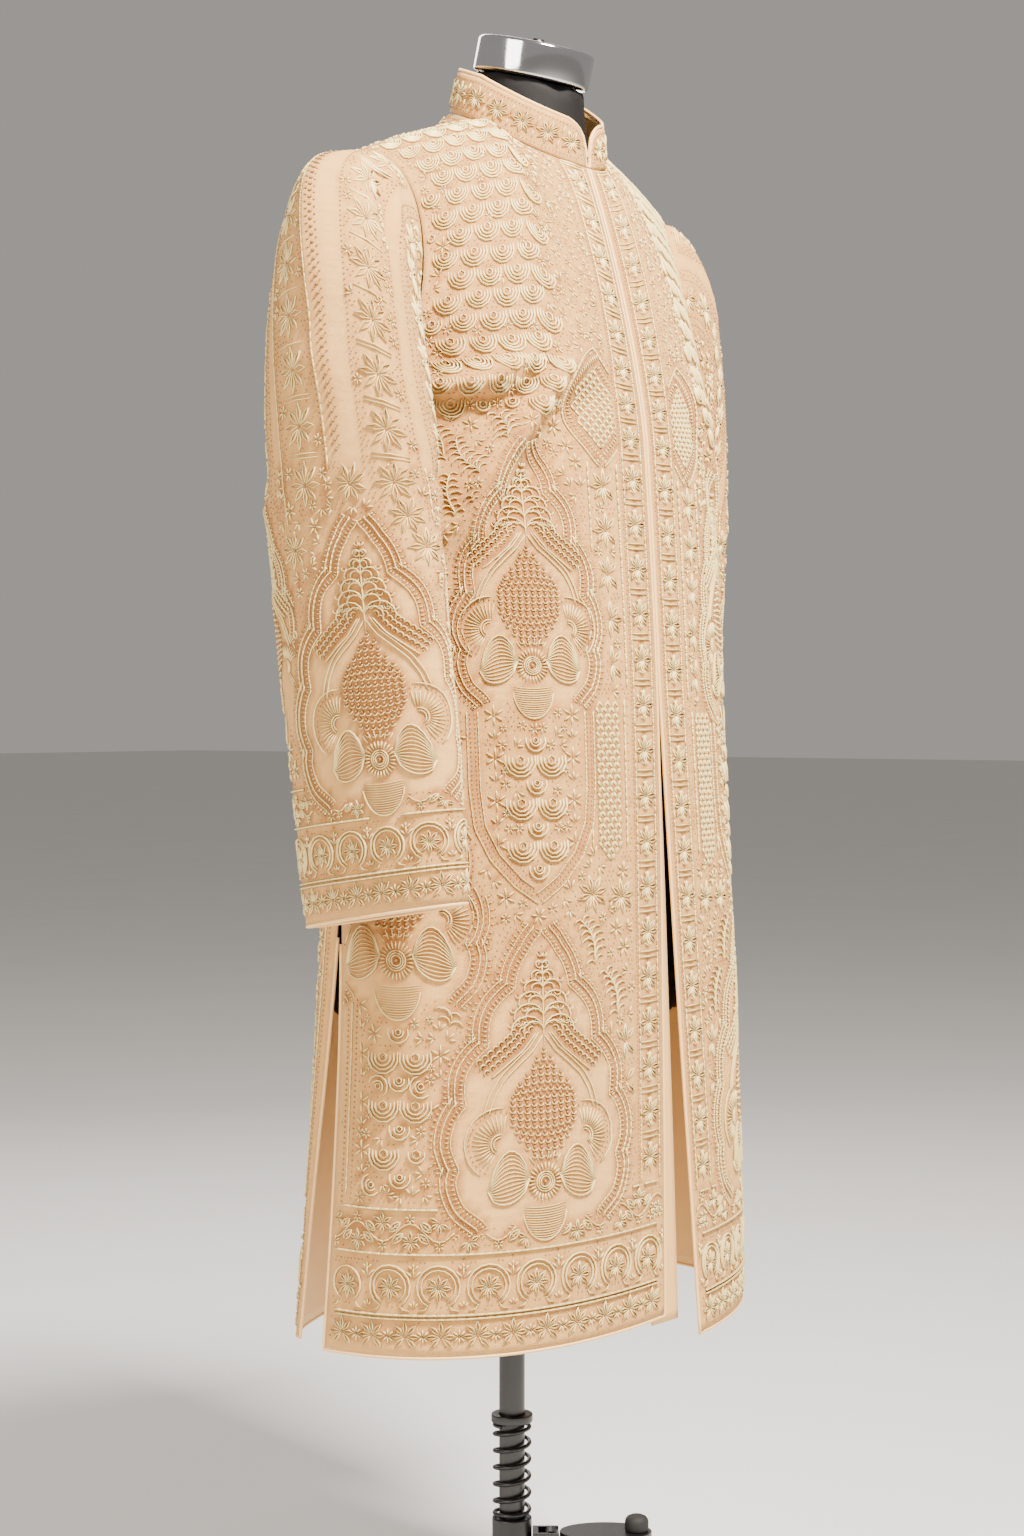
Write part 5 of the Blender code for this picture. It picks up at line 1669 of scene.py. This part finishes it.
# %% Sleeves
def lay_sleeve(word, seed):
    """Medallion over the cuff, then upright bands that follow the arm to the shoulder."""
    chart = charts["sleeve_" + word]
    ground = Ground(chart)
    top = chart.v[-1]
    low, high = (float(part[0]) for part in chart.ends(np.array([0.15])))
    heights = np.array((0.1, 0.115, 0.22, 0.32, 0.42, 0.549, 0.62))
    middles = np.array((0.033, 0.033, 0.039, 0.028, 0.015, 0.0105, 0.01))
    axis = lambda v: np.interp(v, heights, middles)

    def column(away, v0, v1):
        v = np.linspace(v0, v1, 160)
        return pair(axis(v) + away, v)

    turn_down = lambda spots: spots[..., 1] < 0.345
    medallion(ground, 0.0345, 0.115, 0.93, None, turn_down)
    for p in (-0.082, 0.151):
        medallion(ground, p, 0.17, 0.72, NARROW_ARCH,
                  lambda spots: np.abs(spots[..., 0] - 0.0345) > 0.07)
    ground.lay(hem_borders(low + 0.003, high - 0.003, CUFF_ROWS))
    ground.lay(laid_cord(low + 0.003, high - 0.003, 0.0998))
    ground.fill(TINY_BLOOM, 0.0034, 0.0062, (low, high, 0.072, 0.098), seed + 61)
    ground.fill(KNOT, 0.0016, 0.0036, (low, high, 0.003, 0.098), seed + 62)
    ground.close(lambda spots: spots[..., 1] < 0.101)

    first, last = 0.338, top - 0.01
    for hand in HANDS:
        spots, _ = walk(column(hand * 0.0056, first + 0.012, last), 0.0062)
        ground.lay(Drawing().bead(spots, 0.0021).bead(spots + (hand * 0.0036, 0.003), 0.0015))
        ground.lay(Drawing().bead(spots - (hand * 0.0034, -0.003), 0.0013))
        for away in (0.018, 0.063):
            foot = first if away < 0.05 else 0.3
            line = column(hand * away, foot, last)
            ground.lay(bead_row(line, 0.004), None, 0)
            ground.lay(dashes(line, 0.007, hand * (0.003 if away < 0.05 else -0.003),
                              0.0012, 0.0009), None, 0)
        band = column(hand * 0.04, first - 0.01, last)
        spots, _ = walk(band, 0.02)
        ground.lay(stamped(BLOOM, spots[::2], 1.12))
        bars = Drawing()
        for lift in (-0.0014, 0.0014):
            bars.stitch(np.array(((-0.015, lift), (0.0, lift), (0.015, lift))), 0.0014, 0.0011)
        bars.stamp(sprig(0.0044), (0.0, 0.005)).stamp(sprig(0.0044), (0.0, -0.005), turn=180.0)
        ground.lay(stamped(bars, spots[1::2]))
        for away in (0.0805, 0.09, 0.123, 0.13):
            line = column(hand * away, 0.285, last)
            ground.lay(bead_row(line, 0.0042))
        spots, _ = walk(column(hand * 0.1065, 0.29, last), 0.033)
        ground.lay(stamped(BLOOM, spots, 1.0))
        ground.lay(stamped(EYE, 0.5 * (spots[1:] + spots[:-1]), 0.85))

        off = lambda spots: np.abs(spots[..., 0] - axis(spots[..., 1]))
        for low_off, high_off in ((-1.0, 0.0165), (0.0645, 0.078)):
            ground.close(lambda spots: (off(spots) > low_off) & (off(spots) < high_off)
                         & (spots[..., 1] > 0.345))
    ground.fill(BLOOM, 0.0138, 0.029, (low, high, 0.102, 0.33), seed + 40)
    fillers(ground, (low, high, 0.101, top - 0.006), seed + 50, word == "right")
    return ground


# %% Sew the panels
drawings = {"front_right": lay_front("right", 11), "front_left": lay_front("left", 211),
            "back": lay_back(411), "sleeve_right": lay_sleeve("right", 611),
            "sleeve_left": lay_sleeve("left", 811)}
embroidery, beadwork, covered = {}, {}, {}
for name, laid in drawings.items():
    # the share of thread on each panel is the mask of the ground's painted shade
    drawing, covered[name] = laid.drawing, laid.worked()
    print(name, "stitches and beads take", drawing.weight(), "triangles")
    embroidery[name] = sew("embroidery_" + name, charts[name], drawing, thread)
    beadwork[name] = string_beads("beads_" + name, charts[name], drawing, bead)

# %% [markdown]
# ## Cloth, collar and piping
# Each panel is a single surface given a wall by Solidify, which grows inwards so that the
# outer face keeps its place. The collar is a curved strip that rises from the neckline and
# leans towards the neck, its front ends rounded. Piping is a filled cord sewn along each
# edge.


# %% Cloth pieces
def cloth_piece(name, chart, finish, wall, weld=False, worked=0.0):
    """A chart's grid as a sheet with a wall, unfolded in its own UV."""
    rows, cols = chart.grid.shape[:2]
    uv = pair(chart.p, np.repeat(chart.v[:, None], cols, axis=1))
    # each point carries its share of thread, the mask of the ground's painted shade
    item = put_mesh(name, chart.grid, [quads(rows, cols, hand=chart.hand)], finish,
                    {"worked": np.broadcast_to(worked, (rows, cols))}, uv)
    if weld:
        work = bmesh.new()
        work.from_mesh(item.data)
        bmesh.ops.remove_doubles(work, verts=work.verts, dist=0.00005)
        work.to_mesh(item.data)
        work.free()
    shell = item.modifiers.new("wall", "SOLIDIFY")
    shell.thickness = wall
    shell.offset = -1.0
    item.data.materials.append(plain_silk.material)
    shell.material_offset = shell.material_offset_rim = 1
    return item


def cut_of(chart):
    """Flat width, length and area of a panel, measured along the cloth."""
    grid = chart.grid
    one = np.cross(grid[1:, 1:] - grid[:-1, :-1], grid[1:, :-1] - grid[:-1, 1:])
    area = 0.5 * float(np.linalg.norm(one, axis=-1).sum())
    wide = float((chart.p[:, -1] - chart.p[:, 0]).max())
    long_ = float(np.linalg.norm(np.diff(grid, axis=0), axis=-1).sum(axis=0).max())
    return wide, long_, min(area, wide * long_)


COLLAR = 0.0028
COLLAR_TALL = 0.034
COLLAR_ROUND = 0.024
STRIP = 0.0015
PIPE = 0.0014
GAP = 0.0003


def neckline(count):
    """Neckline from the right front edge round the nape to the left front edge."""
    share = np.linspace(0.0, NECK_SHARE, count)
    parts = [top_line(share, side, face) for side, face in
             ((-1.0, "front"), (-1.0, "back"), (1.0, "back"), (1.0, "front"))]
    return np.concatenate([parts[0], parts[1][::-1][1:], parts[2][1:], parts[3][::-1][1:]])


COLLAR_MIDDLE = np.array((0.0, -0.018, 1.36))
base = neckline(27)
out = base - (0.0, -0.018, 0.0)
rise = unit(np.stack([-2.0 * out[:, 0], -2.0 * out[:, 1] - 0.1, np.ones(len(base))], axis=-1))
gone = gone_along(base)
short = np.clip(COLLAR_ROUND - np.minimum(gone, gone[-1] - gone), 0.0, COLLAR_ROUND)
tall = COLLAR_TALL - 0.95 * (COLLAR_ROUND - np.sqrt(COLLAR_ROUND ** 2 - short ** 2))
share = even(11)[:, None, None]
charts["collar"] = Chart(base[None] + rise[None] * (0.0009 + share * tall[None, :, None]),
                         COLLAR_MIDDLE)

z = np.linspace(HEM_Z + 0.004, PART_Z + 0.05, 70)
reach = 0.0015 + 0.0195 * parted(z) ** 1.1
x = (reach + 0.016)[:, None] * even(7)[None] - 0.016
y = np.broadcast_to((size("front", z) + CLOTH + 0.0011)[:, None], x.shape)
strip = Chart(np.stack([x, y, np.broadcast_to(z[:, None], x.shape)], axis=-1), BODY_MIDDLE)


# %% Collar's embroidery
def lay_collar():
    """Stars and leaves in turn between two lines of beads."""
    chart = charts["collar"]
    ground = Ground(chart)
    long_ = float(chart.p[0, -1])
    for v in (0.0042, 0.0295):
        line = straight(0.012, v, long_ - 0.012, v, 200)
        ground.lay(bead_row(line, 0.0034, 0.0, 0.0009))
    at = spread(0.01, long_ - 0.01, 0.0225)
    gaps = 0.5 * (at[1:] + at[:-1])
    ground.lay(stamped(star(0.0088, 8, 0.42), pair(at, 0.0168)))
    for turn, lift in ((0.0, 0.019), (180.0, 0.015)):
        ground.lay(stamped(SPRIG, pair(gaps, lift), 1.1, turn))
    ground.fill(TINY_BLOOM, 0.0044, 0.0092, (0.004, long_, 0.004, 0.034), 31)
    ground.fill(KNOT, 0.0018, 0.0042, (0.004, long_, 0.003, 0.034), 32)
    return ground


laid = lay_collar()
covered["collar"] = laid.worked()
embroidery["collar"] = sew("embroidery_collar", charts["collar"], laid.drawing, thread)
beadwork["collar"] = string_beads("beads_collar", charts["collar"], laid.drawing, bead)

coat = {}
for name, chart in charts.items():
    wall = COLLAR if name == "collar" else CLOTH
    coat[name] = cloth_piece("coat_" + name, chart, ground, wall, name.startswith("sleeve"),
                             covered[name])
coat["underlap_strip"] = cloth_piece("coat_underlap_strip", strip, plain_silk, STRIP)
print("cut of a front:", np.round(cut_of(charts["front_right"]), 3))


# %% Piping
def cord(name, path, guide, radius, finish, closed=False, sides=8):
    """Round section carried along a path, turned by the cloth's own normal."""
    around = (np.roll(path, -1, axis=0) - np.roll(path, 1, axis=0)) if closed else (
        np.gradient(path, axis=0))
    ahead = unit(around)
    across = unit(guide - ahead * np.sum(guide * ahead, axis=-1, keepdims=True))
    third = np.cross(ahead, across)
    angle = np.arange(sides) * TURN / sides
    rings = path[:, None] + radius * (np.cos(angle)[None, :, None] * across[:, None]
                                      + np.sin(angle)[None, :, None] * third[:, None])
    rows = len(path)
    gone = gone_along(path)
    uv = pair(radius * angle[None, :], gone[:, None])
    return put_mesh(name, rings, skin(rows, sides, closed), finish, uv=uv)


def edge_path(chart, whole_edge):
    """Path and normals beside a panel: down one edge, along the hem and up the other."""
    away = PIPE + GAP
    grid = chart.grid - chart.normal * (0.5 * CLOTH)
    slit_rows = int(np.sum(grid[:, -1, 2] < SLIT_Z - 0.028))
    down = unit(grid[0] - grid[1]) * away
    first = unit(grid[:, 0] - grid[:, 1]) * away
    last = unit(grid[:, -1] - grid[:, -2]) * away
    rows = len(grid) if whole_edge else slit_rows
    start = (grid[:rows, 0] + first[:rows])[::-1]
    start[-1] += down[0]
    end = grid[:slit_rows, -1] + last[:slit_rows]
    end[0] += down[-1]
    path = np.concatenate([start, grid[0, 1:-1] + down[1:-1], end])
    normals = np.concatenate([chart.normal[:rows, 0][::-1], chart.normal[0, 1:-1],
                              chart.normal[:slit_rows, -1]])
    return path, normals


piping = {}
for name in ("front_right", "front_left", "back"):
    path, normals = edge_path(charts[name], name != "back")
    piping[name] = cord("piping_cord_" + name, path, normals, PIPE, piping_silk)
for side, word in SIDES.items():
    chart = charts["sleeve_" + word]
    path = (chart.grid - chart.normal * (0.5 * CLOTH))[0, :-1] - (0.0, 0.0, PIPE + GAP)
    piping["cuff_" + word] = cord("piping_cord_cuff_" + word, path, chart.normal[0, :-1], PIPE,
                                  piping_silk, True)
chart = charts["collar"]
mid = chart.grid - chart.normal * (0.5 * COLLAR)
away = (PIPE + GAP) * 1.12
first = unit(mid[:, 0] - mid[:, 1]) * away
last = unit(mid[:, -1] - mid[:, -2]) * away
run = unit(np.gradient(mid[-1], axis=0))
top = mid[-1] + unit(rise - run * np.sum(rise * run, axis=-1, keepdims=True)) * away
top[0] += first[-1]
top[-1] += last[-1]
path = np.concatenate([mid[:-1, 0] + first[:-1], top, (mid[:-1, -1] + last[:-1])[::-1]])
normals = np.concatenate([chart.normal[:-1, 0], chart.normal[-1], chart.normal[:-1, -1][::-1]])
piping["collar"] = cord("piping_cord_collar", path, normals, PIPE, piping_silk)
print("pieces of piping:", sorted(piping))

# %% [markdown]
# ## Dress form and stand
# The form is a firm torso under a black jersey cover, with a chromed cap screwed on its
# neck. Round parts are turned again with finer profiles, because their edges catch light.
# Flat plates keep the frame's own shape and only get a finish.

# %% Finishes of the hard parts
def speckled(name, grain, cloud, share, dark, light, rough, relief, **constants):
    """Two close shades of paint, metal or rubber.

    The tone is share times a fine grain plus the rest of a wider cloud. The grain also
    moves the gloss, rough = (gain, base), and the relief = (strength, metres).
    """
    made = Finish(name, **constants)
    fine = made.noise(*grain)
    tone = made.noise(*cloud) if cloud else fine
    if 0.0 < share < 1.0:
        tone = tone * (1.0 - share) + fine * share
    made.feed("Base Color", made.blend(tone, srgb(*dark), srgb(*light)))
    made.feed("Roughness", fine * rough[0] + rough[1])
    made.bump(fine, *relief)
    return made


jersey = speckled("black_jersey_cover", (900.0, 2.0), (14.0,), 0.4, (12, 11, 11), (26, 24, 23),
                  (0.2, 0.62), (0.5, 0.0003), specular_level=0.2)
paint = speckled("black_satin_paint", (420.0, 2.0), (30.0,), 0.0, (9, 9, 10), (20, 19, 20),
                 (0.14, 0.3), (0.25, 0.0002), coat_weight=0.15, coat_roughness=0.25)
iron = speckled("black_cast_iron_paint", (260.0, 4.0), (7.0,), 0.6, (10, 10, 11), (24, 23, 22),
                (0.2, 0.5), (0.5, 0.0006), specular_level=0.4)
rubber = speckled("black_moulded_rubber", (800.0, 2.0), None, 1.0, (22, 22, 22), (38, 37, 36),
                  (0.2, 0.62), (0.3, 0.0002), specular_level=0.35)
dark = speckled("dark_turned_finial", (300.0, 2.0), None, 1.0, (58, 52, 48), (84, 78, 72),
                (0.15, 0.28), (0.2, 0.0002), metallic=1.0)
chrome = Finish("chrome_cap_polish", metallic=1.0)
smear = chrome.noise(38.0, 4.0)
chrome.feed("Base Color", chrome.blend(smear, srgb(226, 226, 228), srgb(205, 206, 210)))
chrome.feed("Roughness", (smear ** 2.0) * 0.16 + 0.07)
chrome.bump(chrome.noise(8.0, 2.0), 0.08, 0.0006)
print("finishes of the hard parts:", len((jersey, paint, iron, rubber, dark, chrome)))


# %% Turned parts
CAP_CENTRE = np.array((0.0, -0.0235, 1.395))
CAP_TILT = math.radians(14.0)
CAP_R, CAP_TALL = 0.0495, 0.029
POLE_R = 0.011
PIVOT_Z = 0.143
PEDAL_TURN = math.radians(-52.0)


def turned(name, profile, finish, foot=(0.0, 0.0, 0.0), tilt=0.0, sides=64, ring=False):
    """Profile (radius, height) turned once about its axis, leaned forwards by the tilt."""
    profile = floats(profile)
    rows = len(profile)
    angle = np.arange(sides) * TURN / sides
    r, z = profile[:, :1], np.broadcast_to(profile[:, 1:], (rows, sides))
    x, y = r * np.cos(angle), r * np.sin(angle)
    turned_y = y * math.cos(tilt) - z * math.sin(tilt)
    turned_z = y * math.sin(tilt) + z * math.cos(tilt)
    points = np.stack([x, turned_y, turned_z], axis=-1) + np.asarray(foot)
    item = put_mesh(name, points, skin(rows, sides, ring), finish)
    edges = item.modifiers.new("edges", "BEVEL")
    edges.width, edges.segments, edges.angle_limit = 0.0006, 2, math.radians(35.0)
    edges.harden_normals = True
    return item


def rounded(radius, low, high, edge, inner=0.0):
    """Profile of a disc with rounded rims, from its foot to its top."""
    turn = np.radians(np.linspace(-90.0, 0.0, 5))
    foot = pair(radius - edge + edge * np.cos(turn), low + edge + edge * np.sin(turn))
    top = pair(foot[::-1, 0], high - (foot[::-1, 1] - low))
    hub = max(inner, 0.0004)
    return np.concatenate([[(hub, low)], foot, top, [(hub, high)]])


lean = np.array((0.0, -math.sin(CAP_TILT), math.cos(CAP_TILT)))
half = 0.5 * CAP_TALL
hard = {
    "neck_cap": turned("cap_of_neck", rounded(CAP_R, -half, half, 0.003), chrome, CAP_CENTRE,
                       CAP_TILT, 96),
    "cap_finial": turned("finial_of_cap", ((0.0003, 0.0), (0.0062, 0.0), (0.0065, 0.0006),
                                           (0.0065, 0.0028), (0.0058, 0.0040), (0.0046, 0.0056),
                                           (0.0030, 0.0060), (0.0003, 0.0060)),
                         dark, CAP_CENTRE + lean * (half + GAP), CAP_TILT, 40),
    "pole": turned("pole_of_form", rounded(POLE_R, 0.032, 0.5997, 0.0006), paint, sides=48),
    "stand_tube": turned("tube_of_stand", rounded(0.017, 0.0263, 0.16, 0.001, 0.0116), paint,
                         sides=56, ring=True),
    "pole_collar": turned("collar_of_pole", rounded(0.0178, 0.242, 0.249, 0.001, POLE_R + GAP),
                          paint, sides=56, ring=True),
    "stand_base": turned("base_of_stand", ((0.0005, 0.0), (0.204, 0.0), (0.2065, 0.0015),
                                           (0.2079, 0.0040), (0.2070, 0.0068), (0.2040, 0.0088),
                                           (0.1400, 0.0125), (0.0600, 0.0165), (0.0470, 0.0195),
                                           (0.0420, 0.0240), (0.0390, 0.0258), (0.0005, 0.0260)),
                         iron, sides=128),
}
t = even(300)
turns = t * 6.5
climb = np.clip((turns - 0.75) / 5.0, 0.0, 1.0)
flat = np.clip(turns / 0.75, 0.0, 1.0) - 1.0 + np.clip((turns - 5.75) / 0.75, 0.0, 1.0)
SPRING_R, SPRING_WIRE = 0.015, 0.0018
low, high = 0.16 + GAP + SPRING_WIRE, 0.242 - GAP - SPRING_WIRE
pitch = 2.0 * SPRING_WIRE + GAP
z = low + pitch * 0.75 + (high - low - pitch * 1.5) * climb + flat * pitch * 0.75
angle = turns * TURN
path = np.stack([SPRING_R * np.cos(angle), SPRING_R * np.sin(angle), z], axis=-1)
outward = np.stack([np.cos(angle), np.sin(angle), 0.0 * angle], axis=-1)
hard["buffer_spring"] = cord("spring_of_stand", path, outward, SPRING_WIRE, paint)

box = np.array(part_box("pedal_knob"))
middle = 0.5 * (box[0] + box[1])
hard["pedal_knob"] = turned("knob_of_pedal", ((0.0003, 0.0), (0.0095, 0.0), (0.0101, 0.0012),
                                              (0.0102, 0.0040), (0.0102, 0.0080), (0.0096, 0.0102),
                                              (0.0082, 0.0120), (0.0058, 0.0132), (0.0030, 0.0139),
                                              (0.0003, 0.0140)),
                            rubber, (middle[0], middle[1], box[0][2]), sides=48)

work = bmesh.new()
work.from_mesh(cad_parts["form_torso"].data)
bmesh.ops.remove_doubles(work, verts=work.verts, dist=0.00005)
cover = bpy.data.meshes.new("cover_of_form")
work.to_mesh(cover)
work.free()
cover.shade_smooth()
cover.materials.clear()
cover.materials.append(jersey.material)
hard["form_torso"] = bpy.data.objects.new("cover_of_form", cover)
bpy.context.scene.collection.objects.link(hard["form_torso"])
round_off = hard["form_torso"].modifiers.new("round_off", "SUBSURF")
round_off.levels = round_off.render_levels = 1
for node, finish in (("pedal_bracket", paint), ("pedal_pin", paint), ("pedal_bush", paint),
                     ("pedal_plate", paint)):
    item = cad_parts[node]
    for slot in item.material_slots:
        slot.material = finish.material
    if not item.material_slots:
        item.data.materials.append(finish.material)
print("hard parts:", sorted(hard))

# %% [markdown]
# ## Joining the frame
# Every new piece rides on a body of the frame, the solid that it stands for is hidden, and
# the size that its cloth was cut to is printed. Embroidery and beads go with their panel.

# %% Floor, bodies and cuts
floor_finish = Finish("pale_studio_floor", specular_level=0.25)
dust = floor_finish.noise(3.0, 3.0)
floor_finish.feed("Base Color", floor_finish.blend(dust, srgb(226, 225, 223), srgb(219, 218, 216)))
floor_finish.feed("Roughness", dust * 0.1 + 0.7)
span = np.linspace(-40.0, 40.0, 9)
corner_x, corner_y = np.meshgrid(span, span)
floor = put_mesh("floor", np.stack([corner_x, corner_y, 0.0 * corner_x - 0.0002], axis=-1),
                 [quads(9, 9)], floor_finish)

for name, item in coat.items():
    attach(item, "dressed_form")
    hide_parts(name)
    chart = strip if name == "underlap_strip" else charts[name]
    wide, long_, area = cut_of(chart)
    going = [part[name] for part in (embroidery, beadwork) if name in part]
    for piece in going:
        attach(piece, "dressed_form")
    print(name, "cut", round(wide, 3), "x", round(long_, 3), "m, area", round(area, 4))
for name, item in piping.items():
    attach(item, "dressed_form")
    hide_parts("piping_" + name)
RIDES = {"stand": ("stand_base", "stand_tube", "buffer_spring"), "pedal": ("pedal_knob",),
         "dressed_form": ("form_torso", "neck_cap", "cap_finial", "pole", "pole_collar")}
for body, nodes in RIDES.items():
    for node in nodes:
        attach(hard[node], body)
        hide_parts(node)
